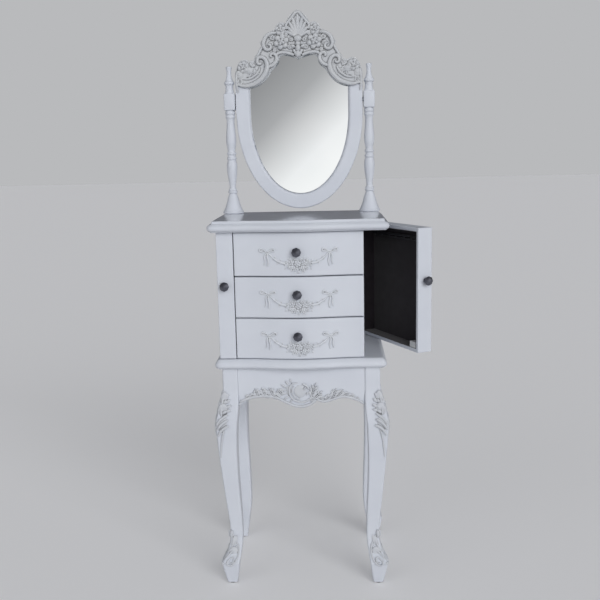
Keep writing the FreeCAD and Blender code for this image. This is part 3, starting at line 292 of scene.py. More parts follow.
def addBlock(spans):
    deselectAll()
    size = Vector([abs(end - start) for start, end in spans])
    middle = Vector([(start + end) / 2 for start, end in spans])
    bpy.ops.mesh.primitive_cube_add(size=1, location=middle * mm, scale=size * mm)
    bpy.ops.object.transform_apply(location=True, rotation=True, scale=True)
    return bpy.context.object


def easeEdges(piece, ease):
    settings = {"width": ease * mm, "segments": 3, "limit_method": "ANGLE", "angle_limit": radians(40)}
    applyModifier(piece, "BEVEL", settings)


def flattenFaces(piece):
    # the broad faces stay flat to the eye between their round edges
    applyModifier(piece, "WEIGHTED_NORMAL", {"keep_sharp": True})


def easedCopy(node, name, body, slot, ease):
    # the same board with its sharp edges sanded round
    piece = meshCopy(node)
    easeEdges(piece, ease)
    finishPiece(piece, name, body, slot, [node])
    flattenFaces(piece)


# Camera where the photograph was taken from, in metres, degrees and pixels
view = {
    "place": (0.08086, -2.02954, 1.05274),
    "turn": -2.40,
    "dip": 10.12,
    "lean": -1.23,
    "focalPixels": 824.78,
    "frameWidth": 600,
    "sensor": 36.0,
}


def setCamera():
    turn, dip, lean = radians(view["turn"]), radians(view["dip"]), radians(view["lean"])
    ahead = Vector((sin(turn) * cos(dip), cos(turn) * cos(dip), -sin(dip)))
    side = Vector((cos(turn), -sin(turn), 0))
    up = side.cross(ahead)
    axes = (side * cos(lean) + up * sin(lean), up * cos(lean) - side * sin(lean), -ahead)
    bpy.ops.object.camera_add()
    camera = bpy.context.object
    camera.matrix_world = Matrix.Translation(view["place"]) @ Matrix(axes).transposed().to_4x4()
    camera.data.sensor_width = view["sensor"]
    camera.data.lens = view["focalPixels"] / view["frameWidth"] * view["sensor"]
    scene.camera = camera


setCamera()

# Studio
studio = {
    "floor": "E2E2E4",
    "floorSize": (40.0, 34.0),
    "floorMiddle": (0.0, 13.5),
    "floorGlow": 0.11,
    "glowColour": "FBFBFC",
    "backdrop": "B9BABC",
    "ambient": 0.30,
    "ambientColour": "F4F6FA",
    # what shiny faces see: dark behind the cabinet, a dim corner in front that brightens to a white wall
    "behind": "4A4A4E",
    "behindToFront": (0.15, -0.15),
    "wallSlope": (-0.2, 0.04),
    "wall": [(0.0, "868688"), (0.4, "B0B0B2"), (0.75, "F8F8F9"), (0.9, "FFFFFF")],
    # soft lamps far off: degrees round from the front, degrees up, softness in degrees, strength
    "lamps": {"key": (27, 19, 45, 1.95), "fill": (-42, 12, 60, 0.62)},
}


def setStudio():
    scene.view_settings.view_transform = "Standard"
    deselectAll()
    bpy.ops.mesh.primitive_plane_add(size=1, location=(*studio["floorMiddle"], 0))
    floor = bpy.context.object
    floor.scale = (*studio["floorSize"], 1)
    floor.name = "floor"
    paper, tree, shader, _ = newMaterial("matt paper floor", {"Roughness": 0.9, "Specular IOR Level": 0.0})
    shader.inputs["Base Color"].default_value = linear(studio["floor"])
    # paper that glows for the eye and in reflections alone, so that it stays pale and keeps the shadow
    shader.inputs["Emission Color"].default_value = linear(studio["glowColour"])
    ray = addNode(tree, "LightPath").outputs
    links = {0: ray["Is Camera Ray"], 1: ray["Is Glossy Ray"]}
    seen = addNode(tree, "Math", {"operation": "ADD"}, links).outputs["Value"]
    glow = addNode(tree, "Math", {"operation": "MULTIPLY", 1: studio["floorGlow"]}, {0: seen})
    tree.links.new(glow.outputs["Value"], shader.inputs["Emission Strength"])
    floor.data.materials.append(paper)
    for name, (around, up, softness, strength) in studio["lamps"].items():
        bpy.ops.object.light_add(type="SUN", location=(0, 0, 3))
        lamp = bpy.context.object
        lamp.name = name
        lamp.data.angle = radians(softness)
        lamp.data.energy = strength
        lamp.visible_glossy = False  # the wall in front gives the shine
        around, up = radians(around), radians(up)
        toward = Vector((-sin(around) * cos(up), cos(around) * cos(up), -sin(up)))
        lamp.rotation_euler = toward.to_track_quat("-Z", "Y").to_euler()
    world = bpy.data.worlds.new("studio")
    scene.world = world
    world.use_nodes = True
    tree = world.node_tree
    tree.nodes.clear()
    ray = addNode(tree, "LightPath").outputs
    plain = addNode(tree, "Background", {"Color": linear(studio["backdrop"]), "Strength": 1.0})
    softLight = {"Color": linear(studio["ambientColour"]), "Strength": studio["ambient"]}
    soft = addNode(tree, "Background", softLight)
    direction = addNode(tree, "TexCoord").outputs["Generated"]
    rising = {"operation": "DOT_PRODUCT", 1: (1.0, 0.0, -1.0)}
    slope = addNode(tree, "VectorMath", rising, {0: direction}).outputs["Value"]
    low, high = studio["wallSlope"]
    share = addNode(tree, "MapRange", {"From Min": low, "From Max": high}, {"Value": slope})
    wall = blendColours(tree, share.outputs["Result"], studio["wall"])
    depth = addNode(tree, "SeparateXYZ", links={"Vector": direction}).outputs["Y"]
    back, front = studio["behindToFront"]
    turned = addNode(tree, "MapRange", {"From Min": back, "From Max": front}, {"Value": depth})
    mix = {"data_type": "RGBA", 6: linear(studio["behind"])}
    around = addNode(tree, "Mix", mix, {0: turned.outputs["Result"], 7: wall})
    seen = addNode(tree, "Background", {"Strength": 1.0}, {"Color": around.outputs[2]})
    links = {0: ray["Is Camera Ray"], 1: soft.outputs["Background"], 2: plain.outputs["Background"]}
    lit = addNode(tree, "MixShader", links=links)
    links = {0: ray["Is Glossy Ray"], 1: lit.outputs["Shader"], 2: seen.outputs["Background"]}
    whole = addNode(tree, "MixShader", links=links)
    addNode(tree, "OutputWorld", links={"Surface": whole.outputs["Shader"]})


setStudio()
print("camera, floor and lamps set")

# Boards with sanded edges
sandedBoards = {
    "ease": 1.5,
    "boards": [
        "left_side_panel", "right_side_panel", "back_panel", "left_apron", "right_apron", "back_apron",
    ],
}
for board in sandedBoards["boards"]:
    easedCopy(board, board + "_sanded", "cabinet", "white_painted_wood", sandedBoards["ease"])
print("boards sanded")


def loftRows(rows):
    # a skin laid over rows of points in millimetres, closed round and capped at both ends
    deselectAll()
    columns = len(rows[0]) + 1
    bpy.ops.mesh.primitive_grid_add(x_subdivisions=columns - 1, y_subdivisions=len(rows) - 1, size=1)
    piece = bpy.context.object
    for r, row in enumerate(rows):
        for c in range(columns):
            piece.data.vertices[r * columns + c].co = Vector(row[c % len(row)]) * mm
    editAll(piece)
    bpy.ops.mesh.remove_doubles(threshold=0.001 * mm)
    bpy.ops.mesh.select_all(action="DESELECT")
    bpy.ops.mesh.select_non_manifold()
    bpy.ops.mesh.fill_holes(sides=0)
    bpy.ops.mesh.select_all(action="SELECT")
    bpy.ops.mesh.normals_make_consistent(inside=False)
    leaveEdit()
    return piece


# Moulded top and base
bow = {"halfWidth": 151.5, "depth": 13.0}
outline = {"frontSteps": 36, "cornerSteps": 8, "leastRadius": 0.8, "flatMargin": 2}


def bowAt(x, half=bow["halfWidth"]):
    # hollow, swell, hollow: three arcs that run into each other
    depth, x = bow["depth"], abs(x)
    radius = (half**2 + depth**2) / (4 * depth)
    if x >= half:
        return 0.0
    if x > half / 2:
        return radius - sqrt(radius**2 - (half - x) ** 2)
    return depth - radius + sqrt(radius**2 - x**2)


def boardOutline(board, inset, level):
    # once round the board at one level, its moulding set in by so much on the front and sides
    wide, front = board["halfWidth"] - inset, board["front"] - inset
    radius = max(board["corner"] - inset, outline["leastRadius"])
    steps = outline["frontSteps"]
    right = [(x, -front - bowAt(x)) for x in (i * (wide - radius) / steps for i in range(1, steps + 1))]
    for i in range(1, outline["cornerSteps"] + 1):
        angle = radians(90 * i / outline["cornerSteps"])
        right.append((wide - radius + radius * sin(angle), -front + radius - radius * cos(angle)))
    right.append((wide, board["back"]))
    left = [(-x, y) for x, y in reversed(right)]
    return [(x, y, level) for x, y in [*left, (0.0, -front - bow["depth"]), *right]]


mouldedBoards = {
    "top_panel": {
        "halfWidth": 210.5, "front": 153.0, "back": 141.6, "corner": 14.0, "surface": 901.5,
        # drop below the surface, distance set in from the widest line
        "moulding": [
            (0, 13.6), (0.25, 12.7), (0.9, 12), (2.2, 11.6), (4.4, 11.5), (5.6, 11), (6.6, 9.8), (7.2, 8),
            (7.4, 6), (8.6, 5.8), (8.7, 4.9), (9.6, 3.3), (11.2, 1.6), (13.4, 0.4), (15.8, 0), (18.4, 0.3),
            (20.6, 1.2), (22.4, 2.7), (23.6, 4.8), (24.2, 6.6), (25.4, 7), (26, 8),
        ],
    },
    "base_panel": {
        "halfWidth": 204.0, "front": 145.0, "back": 141.0, "corner": 14.0, "surface": 573.5,
        "moulding": [
            (0, 11.6), (0.3, 10.4), (1.1, 8.8), (2.4, 7), (4, 5.2), (6, 3.5), (8.4, 2), (11, 0.8),
            (13.8, 0.1), (15.8, 0), (17.8, 0.5), (19.6, 1.7), (21, 3.4), (21.9, 5.4), (22.2, 7.2),
            (23.6, 7.6), (24, 8.8),
        ],
    },
}
for board, shape in mouldedBoards.items():
    rows = [boardOutline(shape, inset, shape["surface"] - drop) for drop, inset in shape["moulding"]]
    margin = outline["flatMargin"]
    for at, (drop, inset) in ((0, shape["moulding"][0]), (len(rows) + 1, shape["moulding"][-1])):
        # one more line inside the edge keeps the broad face flat to the eye
        flat = boardOutline(shape, inset + margin, shape["surface"] - drop)
        rows.insert(at, [(x, min(y, shape["back"] - margin), level) for x, y, level in flat])
    finish = polish if board == "top_panel" else lacquer
    piece, name = loftRows(rows), board.replace("panel", "board")
    finishPiece(piece, name, "cabinet", "white_painted_wood", [board], smoothBelow=30, finish=finish)
print("top and base moulded")

# Drawer fronts
drawerFront = {
    "halfWidth": 150.5,
    "back": 112.2,
    "front": 133.7,
    "round": 3.6,
    "endRound": 1.4,
    "flatMargin": 1,
    "bendSteps": 5,
    "stations": 56,
    "heights": {"upper": (771.9, 873.9), "middle": (673.2, 769.7), "lower": (574.5, 671.0)},
}


def makeDrawerFront(drawer):
    low, high = drawerFront["heights"][drawer]
    half, soft, steps = drawerFront["halfWidth"], drawerFront["round"], drawerFront["bendSteps"]
    ease, margin = drawerFront["endRound"], drawerFront["flatMargin"]
    inner = half - ease
    places = [inner * (2 * i / drawerFront["stations"] - 1) for i in range(drawerFront["stations"] + 1)]
    ends = [inner + ease * sin(pi / 2 * i / steps) for i in range(1, steps + 1)]
    rows = []
    for x in [*(-end for end in reversed(ends)), *places, *ends]:
        past = max(abs(x) - inner, 0)
        face = drawerFront["front"] + bowAt(x, half) - ease + sqrt(max(ease**2 - past**2, 0))
        row = [(x, -drawerFront["back"], low), (x, -(face - soft - margin), low)]
        for middle, start in ((low + soft, 0), (high - soft, 90)):
            for i in range(steps + 1):
                angle = radians(start + 90 * i / steps)
                row.append((x, -(face - soft + soft * sin(angle)), middle - soft * cos(angle)))
            if start == 0:
                row += [(x, -face, low + soft + margin), (x, -face, high - soft - margin)]
        rows.append([*row, (x, -(face - soft - margin), high), (x, -drawerFront["back"], high)])
    body, node = f"{drawer}_drawer", f"{drawer}_drawer_front"
    finishPiece(loftRows(rows), node + "_sanded", body, "white_painted_wood", [node], smoothBelow=40)


for drawer in drawerFront["heights"]:
    makeDrawerFront(drawer)
print("drawer fronts shaped")

# Turned posts
post = {
    "place": (176.0, 110.0),
    # half width, lower and upper end, chamfer
    "block": (14.0, 1161.5, 1203.5, 3.0),
    "turns": 40,
    # height and radius of each cut, below and above the square block
    "lower": [
        (901.5, 25), (902.4, 26.4), (904.5, 27), (906.8, 26.4), (908, 25), (908.6, 24.2), (909.6, 24.2),
        (911.5, 23.4), (918, 20.6), (928, 17.2), (939.5, 14.2), (947.5, 11.5), (951.6, 9.6), (952.4, 9.4),
        (953.2, 10.6), (955, 11.7), (957.2, 11.8), (958.6, 10.8), (959.2, 10.2), (960, 10.9), (961.8, 11.3),
        (963.4, 10.7), (964.4, 9.2), (966.5, 8.3), (970.5, 8), (978, 8.6), (990, 10.4), (1004, 12.4),
        (1017, 13.4), (1026, 13.1), (1032.4, 12), (1036.2, 10.7), (1037.2, 10.2), (1038.2, 10.7),
        (1039.6, 11.8), (1041.5, 12.3), (1043.6, 11.9), (1045.2, 10.8), (1046.2, 9.9), (1048.6, 9.7),
        (1050.2, 10.1), (1051.4, 11.2), (1053, 12), (1054.8, 12.1), (1056.6, 11.3), (1057.6, 10.2),
        (1058.6, 9.5), (1061, 9.3), (1065, 9.7), (1072, 11.3), (1080, 12.5), (1088, 12.9), (1097, 12.5),
        (1110, 11.3), (1124, 10.1), (1132, 9.7), (1138, 9.8), (1141.8, 10.8), (1143.2, 11.8),
        (1145.6, 12.5), (1148, 12), (1149.2, 11), (1150, 10.7), (1151, 11.4), (1153.4, 12.6),
        (1156.2, 12.7), (1158.6, 11.9), (1159.8, 11.2), (1162, 11.2),
    ],
    "upper": [
        (1203, 11.4), (1205, 11.4), (1206.4, 10.8), (1212, 9.9), (1219, 9.5), (1223, 9.8), (1224.6, 10.4),
        (1225.2, 11.6), (1227.4, 12.8), (1229.6, 12.9), (1231.6, 12.2), (1233.2, 10.9), (1233.8, 9.9),
        (1236, 9.2), (1241, 7.4), (1247, 6), (1252.5, 5.5), (1258, 5.8), (1264, 6.9), (1267.2, 7.5),
        (1268.6, 7.2), (1269.3, 6.2), (1269.5, 4.6),
    ],
}


def turnedRows(profile, centre, turns):
    angles = [2 * pi * i / turns for i in range(turns)]
    return [[(centre[0] + r * cos(a), centre[1] + r * sin(a), z) for a in angles] for z, r in profile]


def makePost(name, side):
    centre = (side * post["place"][0], post["place"][1])
    lower = loftRows(turnedRows(post["lower"], centre, post["turns"]))
    upper = loftRows(turnedRows(post["upper"], centre, post["turns"]))
    half, low, high, chamfer = post["block"]
    square = addBlock([*((middle - half, middle + half) for middle in centre), (low, high)])
    applyModifier(square, "BEVEL", {"width": chamfer * mm, "segments": 3})
    piece = joinAll([square, lower, upper])
    finishPiece(piece, name + "_turned", "cabinet", "white_painted_wood", [name], smoothBelow=40)


makePost("left_post", -1)
makePost("right_post", 1)
print("posts turned")

# Knobs
knob = {
    "petals": 8,
    "petalDepth": 0.03,
    "petalsOver": 7.2,
    "turns": 48,
    "levels": {"upper": 828.4, "middle": 729.7, "lower": 631.0},
    "onDrawer": (-4.2, -146.7),
    # out from the hinge line, forward of it, height
    "onDoor": (22.4, -270.6, 749.5),
    # distance from the board, radius
    "profile": [
        (0, 6.4), (0.6, 7), (1.5, 7), (2, 6.4), (2.4, 5.2), (4.6, 4.5), (7, 4.6), (8.4, 6), (9.4, 8.8),
        (10.2, 10.4), (11.4, 11.1), (12.6, 11.2), (13.8, 10.8), (14.7, 10), (15, 9.2), (15.6, 8.6),
        (16.8, 7), (17.9, 4.9), (18.6, 2.8), (18.9, 1.2),
    ],
}


def makeKnob(name, body, node, place, turn):
    rows = []
    for rise, radius in knob["profile"]:
        row = []
        for i in range(knob["turns"]):
            angle = 2 * pi * i / knob["turns"]
            petal = knob["petalDepth"] * (cos(knob["petals"] * angle) - 1)
            reach = radius * (1 + petal) if radius > knob["petalsOver"] else radius
            row.append((reach * cos(angle), -rise, reach * sin(angle)))
        rows.append(row)
    piece = loftRows(rows)
    piece.data.transform(Matrix.Translation(Vector(place) * mm) @ Matrix.Rotation(radians(turn), 4, "Z"))
    finishPiece(piece, name, body, "pewter", [node], smoothBelow=50)


# the doors' hinge line, then each door's side and degrees open
hinge = {"place": (151.5, 136.9), "doors": {"left_door": (-1, 0.0), "right_door": (1, 28.0)}}


def hungPoint(side, turn, across, along, level):
    # a place on a door, from its hinge line
    x, y = hinge["place"]
    arm = Matrix.Rotation(radians(turn), 3, "Z") @ Vector((side * across, along, 0))
    return Vector((side * x, y, level)) + arm


for drawer, level in knob["levels"].items():
    makeKnob(f"{drawer}_knob", f"{drawer}_drawer", f"{drawer}_drawer_knob", (*knob["onDrawer"], level), 0)
for door, (side, turn) in hinge["doors"].items():
    place = hungPoint(side, turn, *knob["onDoor"])
    makeKnob(door.replace("door", "knob"), door, door + "_knob", place, turn)
print("knobs cast")

# Doors, each a shallow box with its joints painted over
doorBox = {
    "across": (1.0, 39.8),
    "floor": 34.8,
    "along": (-270.6, -3.4),
    "levels": (574.7, 874.3),
    "wall": 9.0,
    "cutPast": 5,
    "ease": 1.7,
}


def makeDoorBox(door, side, turn):
    near, far = doorBox["across"]
    wall, (start, end), (low, high) = doorBox["wall"], doorBox["along"], doorBox["levels"]
    shell = addBlock([(side * near, side * far), (start, end), (low, high)])
    deep = (-side * doorBox["cutPast"], side * doorBox["floor"])
    hollow = addBlock([deep, (start + wall, end - wall), (low + wall, high - wall)])
    applyModifier(shell, "BOOLEAN", {"operation": "DIFFERENCE", "object": hollow})
    bpy.data.objects.remove(hollow)
    easeEdges(shell, doorBox["ease"])
    hung = Matrix.Translation(hungPoint(side, 0, 0, 0, 0) * mm)
    shell.data.transform(hung @ Matrix.Rotation(radians(turn), 4, "Z"))
    finishPiece(shell, door + "_box", door, "white_painted_wood", [door + "_panel", door + "_frame"])
    flattenFaces(shell)


for door, (side, turn) in hinge["doors"].items():
    makeDoorBox(door, side, turn)
print("doors boxed")

# Carving bench
bench = {
    "strandSides": 2,
    "strandSteps": 6,
    "fineOver": 9,  # lumps longer than this are cut finer
    "seed": 0.5,
    "smoothing": 0.5,
    "letIn": 0.4,
}
forward, rightward, upward = Vector((0, -1, 0)), Vector((1, 0, 0)), Vector((0, 0, 1))


def frontFace(level, depthAt):
    # a face that looks forward, its zero line at this level
    def face(u, w):
        return Vector((u, depthAt(u), level + w)), forward, rightward

    return face


def addBlob(face, u, w, size, angle, rise):
    # one rounded lump laid on the face: size is half length, half width, half height
    place, out, across = face(u, w)
    along = (across * cos(angle) + upward * sin(angle)).normalized()
    turn = Matrix((along, out.cross(along), out)).transposed().to_euler()
    bpy.ops.mesh.primitive_ico_sphere_add(
        subdivisions=2 if max(size) < bench["fineOver"] else 3,
        radius=1,
        location=(place + out * rise) * mm,
        rotation=turn,
        scale=Vector(size) * mm,
    )


def addStrand(face, points):
    # a rounded strand through the points: each is u, w, rise above the face, radius
    deselectAll()
    bpy.ops.curve.primitive_bezier_curve_add()
    path = bpy.context.object
    path.data.dimensions = "3D"
    path.data.splines.clear()
    spline = path.data.splines.new("BEZIER")
    spline.bezier_points.add(len(points) - 1)
    for knot, (u, w, rise, radius) in zip(spline.bezier_points, points):
        place, out, _ = face(u, w)
        knot.co = (place + out * rise) * mm
        knot.handle_left_type = knot.handle_right_type = "AUTO"
        knot.radius = radius
    path.data.bevel_depth = mm
    path.data.bevel_resolution = bench["strandSides"]
    path.data.resolution_u = bench["strandSteps"]
    path.data.use_fill_caps = True
    bpy.ops.object.convert(target="MESH")
    return bpy.context.object


# shares of a flower's radius
flowerShape = {
    # rings: reach from the middle, petal length, width and height, lift
    "outer": (0.60, 0.40, 0.36, 0.24, 0.02),
    "inner": (0.27, 0.25, 0.2, 0.28, 0.22),
    "heart": (0.13, 0.13, 0.2, 0.32),
    "turn": 0.3,
}


def addFlower(face, u, w, radius, petals, rise):
    rings = ((flowerShape["outer"], petals, 0), (flowerShape["inner"], max(petals - 2, 3), 0.5))
    for (reach, long, wide, high, lift), count, offset in rings:
        for i in range(count):
            angle = 2 * pi * (i + offset) / count + flowerShape["turn"]
            place = (u + reach * radius * cos(angle), w + reach * radius * sin(angle))
            size = (long * radius, wide * radius, high * radius)
            addBlob(face, *place, size, angle, rise + lift * radius)
    long, wide, high, lift = flowerShape["heart"]
    addBlob(face, u, w, (long * radius, wide * radius, high * radius), 0, rise + lift * radius)


# shares of a leaf's length and width
leafShape = {
    # each pair of lobes: along the leaf, out from its middle, size
    "lobes": [(0.22, 0.62, 0.30), (0.45, 0.80, 0.32), (0.68, 0.58, 0.26)],
    # a lobe's length for its size, its width and height
    "lobe": (0.72, 0.21, 0.17),
    "lobeTurn": 0.62,
    # along the leaf, length, width and height, lift
    "tip": (0.84, 0.2, 0.17, 0.16, 0.0),
    "rib": (0.5, 0.52, 0.09, 0.24, 0.04),
}


def addLeaf(face, u, w, length, width, degrees, rise):
    # a lobed leaf from its stem end, with a raised rib
    angle = radians(degrees)
    ahead, aside = (cos(angle), sin(angle)), (-sin(angle), cos(angle))
    long, wide, high = leafShape["lobe"]
    for share, spread, size in leafShape["lobes"]:
        for hand in (1, -1):
            along, out = share * length, hand * spread * width / 2
            place = (u + ahead[0] * along + aside[0] * out, w + ahead[1] * along + aside[1] * out)
            lobe = (size * length * long, width * wide, high * width)
            addBlob(face, *place, lobe, angle + hand * leafShape["lobeTurn"], rise)
    for share, long, wide, high, lift in (leafShape["tip"], leafShape["rib"]):
        place = (u + ahead[0] * share * length, w + ahead[1] * share * length)
        addBlob(face, *place, (long * length, wide * width, high * width), angle, rise + lift * width)


def carve(face, work, base=None):
    # lumps, leaves, flowers and strands laid together, fused into one skin and smoothed as with a rasp
    strands = [addStrand(face, points) for points in work["strands"]]
    deselectAll()
    start = strands[0].data.vertices[0].co
    bpy.ops.mesh.primitive_ico_sphere_add(subdivisions=1, radius=bench["seed"] * mm, location=start)
    lumps = bpy.context.object
    bpy.ops.object.mode_set(mode="EDIT")
    for u, w, long, wide, high, degrees, rise in work.get("lumps", []):
        addBlob(face, u, w, (long, wide, high), radians(degrees), rise)
    for flower in work.get("flowers", []):
        addFlower(face, *flower)
    for leaf in work.get("leaves", []):
        addLeaf(face, *leaf)
    leaveEdit()
    piece = joinAll([lumps, *strands, *([base] if base else [])])
    bpy.ops.object.transform_apply(location=True, rotation=True, scale=True)
    piece.data.remesh_voxel_size = work["voxel"] * mm
    bpy.ops.object.voxel_remesh()
    editAll(piece)
    bpy.ops.mesh.vertices_smooth(factor=bench["smoothing"], repeat=work["rasp"])
    leaveEdit()
    return piece


def cutBack(piece, level):
    # planed off at the back, a little inside the face it is let into
    editAll(piece)
    plane = (0, (level + bench["letIn"]) * mm, 0)
    bpy.ops.mesh.bisect(plane_co=plane, plane_no=(0, 1, 0), use_fill=True, clear_outer=True)
    leaveEdit()


# which figures change sign in a mirror image; 0 marks an angle
mirrorSigns = {"lumps": (-1, 1, 1, 1, 1, 0, 1), "leaves": (-1, 1, 1, 1, 0, 1), "flowers": (-1, 1, 1, 1, 1)}


def bothSides(half, kind):
    # the right half's items and their mirror images
    signs = mirrorSigns[kind]
    mirrored = [tuple(v * s if s else 180 - v for v, s in zip(item, signs)) for item in half[kind]]
    return [*half[kind], *mirrored]


def mirrorStrands(strands):
    return [*strands, *[[(-u, w, rise, r) for u, w, rise, r in points] for points in strands]]


# Crest over the mirror
crestRight = {
    "strands": [
        [  # rim over the glass corner, rolled up in a volute
            (153, 42, 3, 3), (138, 38, 4, 4.5), (119, 40, 5, 5.7), (100, 48.5, 6, 6.4), (86, 62, 6.5, 6.8),
            (78.5, 78, 6.5, 6.4), (79, 94, 6.5, 5.4), (87, 105, 6.5, 4.8), (97, 106, 6.5, 4.4),
            (102, 98, 6.5, 4), (98, 90, 7, 3.6), (91, 93, 7.5, 3.2),
        ],
        [(146, 57, 3, 2.4), (126, 55, 4, 2.8), (110, 62, 4.5, 3), (99, 74, 4.5, 2.6), (96, 82, 4.5, 2)],
        [  # curl beside the glass's arch
            (80, 84, 6, 3.6), (68, 85, 6, 4.4), (57.5, 92, 6, 4.8), (53.5, 104, 6, 4.6), (60, 114, 6.5, 4),
            (68, 112, 7, 3.4), (67, 105, 7.5, 2.8),
        ],
        [
            (56, 111, 5, 3.4), (46, 116, 5.5, 3.8), (33, 116.5, 5.5, 4), (20, 113.5, 5.5, 3.8),
            (10, 109.5, 5.5, 3.2),
        ],
        [  # upper scroll under the shell
            (54, 164, 5, 3.2), (66, 163, 6, 4.2), (77, 157, 6.5, 5), (84, 146, 6.5, 5.2),
            (85, 133, 6.5, 4.8), (77, 124, 6.5, 4.4), (68, 127, 7, 3.8), (69, 135, 7.5, 3.2),
            (75, 137, 8, 2.6),
        ],
        [(89, 132, 4.5, 3), (95, 121, 5, 3.6), (100, 112, 5, 3.6), (104, 101, 4.5, 3), (104, 91, 4, 2.4)],
        [(108, 86, 4, 2.8), (115, 86, 4, 3), (121, 91, 4, 2.8)],
        [(152, 74, 4, 3.6), (155, 62, 4, 3.8), (156, 48, 3.5, 3.2), (155, 34, 3, 2.6), (153, 22, 2, 1.8)],
    ],
    "lumps": [
        (43, 169, 12.5, 12, 6, 0, 3.5), (137, 83, 16, 14.5, 6.5, 0, 3), (124, 76, 12, 9, 6, 40, 2.5),
        (147, 66, 9, 12, 6, 0, 2.5), (6, 114, 7, 4, 5.5, 65, 6.5), (9, 120, 5, 4, 4.5, 60, 6),
        (12, 131, 6, 4, 4.5, 30, 6),
    ],
    "flowers": [
        (41, 142, 19.5, 6, 6), (43, 171, 14, 5, 6), (138, 84, 15, 6, 6), (127, 76, 8, 5, 5),
        (148, 66, 9, 5, 5),
    ],
    "leaves": [
        (56, 150, 17, 10, 20, 5), (60, 140, 15, 9, -15, 5), (26, 134, 15, 9, 215, 5),
        (22, 146, 13, 8, 170, 5), (64, 156, 12, 8, 60, 4.5), (88, 146, 12, 8, -75, 4),
        (102, 110, 11, 7, -60, 3.5), (120, 80, 16, 10, 220, 4), (126, 72, 15, 9, 255, 4),
        (146, 58, 20, 11, 275, 3.5), (112, 72, 15, 9, 200, 4), (60, 128, 12, 8, 250, 5),
        (30, 160, 13, 8, 140, 5), (122, 92, 12, 8, 160, 4),
    ],
}
crest = {
    "voxel": 1.1,
    "rasp": 2,
    "plate": 0.38,
    "face": 100.0,
    "pivot": 1182.5,
    # shell at the top: its pointed border, its ground, and its flutes by degrees from upright,
    # length and half width
    "border": [
        (27, 172, 4, 3), (28.5, 181, 4.5, 3.4), (21, 191.5, 5, 3.6), (13, 201, 5.5, 3.8),
        (6, 209.5, 5.5, 3.8), (0, 213.6, 5.5, 3.8),
    ],
    "ground": [
        (0, 180, 30, 24, 3.5, 90, 2.5), (0, 196, 17, 11, 3.5, 90, 2.5), (0, 177, 27, 14, 3.5, 0, 2.5),
    ],
    "shell": [(0, 55, 4.8), (15, 51, 4.6), (30, 43, 4.4), (46, 36, 4.4), (64, 30, 4.4)],
    "shellFoot": (0, 153),
    # shares of a flute's length to its middle and to its ends, then its half height and lift
    "flute": (0.52, 0.5, 3.6, 5.2),
    "lumps": [
        (0, 149, 10, 8, 7, 0, 7), (0, 137, 7, 6, 6, 0, 7), (0, 126, 9, 6.5, 6.5, 90, 7),
        (0, 112, 9, 7.5, 6.5, 90, 7),
    ],
}


def makeCrest():
    work = {**crest, "lumps": [*crest["lumps"], *crest["ground"], *bothSides(crestRight, "lumps")]}
    footU, footW = crest["shellFoot"]
    along, end, high, rise = crest["flute"]
    for degrees, length, half in crest["shell"]:
        for hand in (1, -1) if degrees else (1,):
            angle = radians(90 - hand * degrees)
            middle = (footU + cos(angle) * length * along, footW + sin(angle) * length * along)
            work["lumps"].append((*middle, length * end, half, high, 90 - hand * degrees, rise))
    work["strands"] = mirrorStrands([*crestRight["strands"], crest["border"]])
    work["flowers"] = bothSides(crestRight, "flowers")
    work["leaves"] = bothSides(crestRight, "leaves")
    base = meshCopy("crest_carving")
    editAll(base)  # the solid's outline as a thin ground for the carving
    bpy.ops.transform.resize(value=(1, crest["plate"], 1), center_override=(0, crest["face"] * mm, 0))
    leaveEdit()
    piece = carve(frontFace(crest["pivot"], lambda u: crest["face"]), work, base)
    cutBack(piece, crest["face"])
    finishPiece(piece, "crest_carved", "mirror", "carved_white_wood", ["crest_carving"], smoothBelow=60)


makeCrest()
print("crest carved")

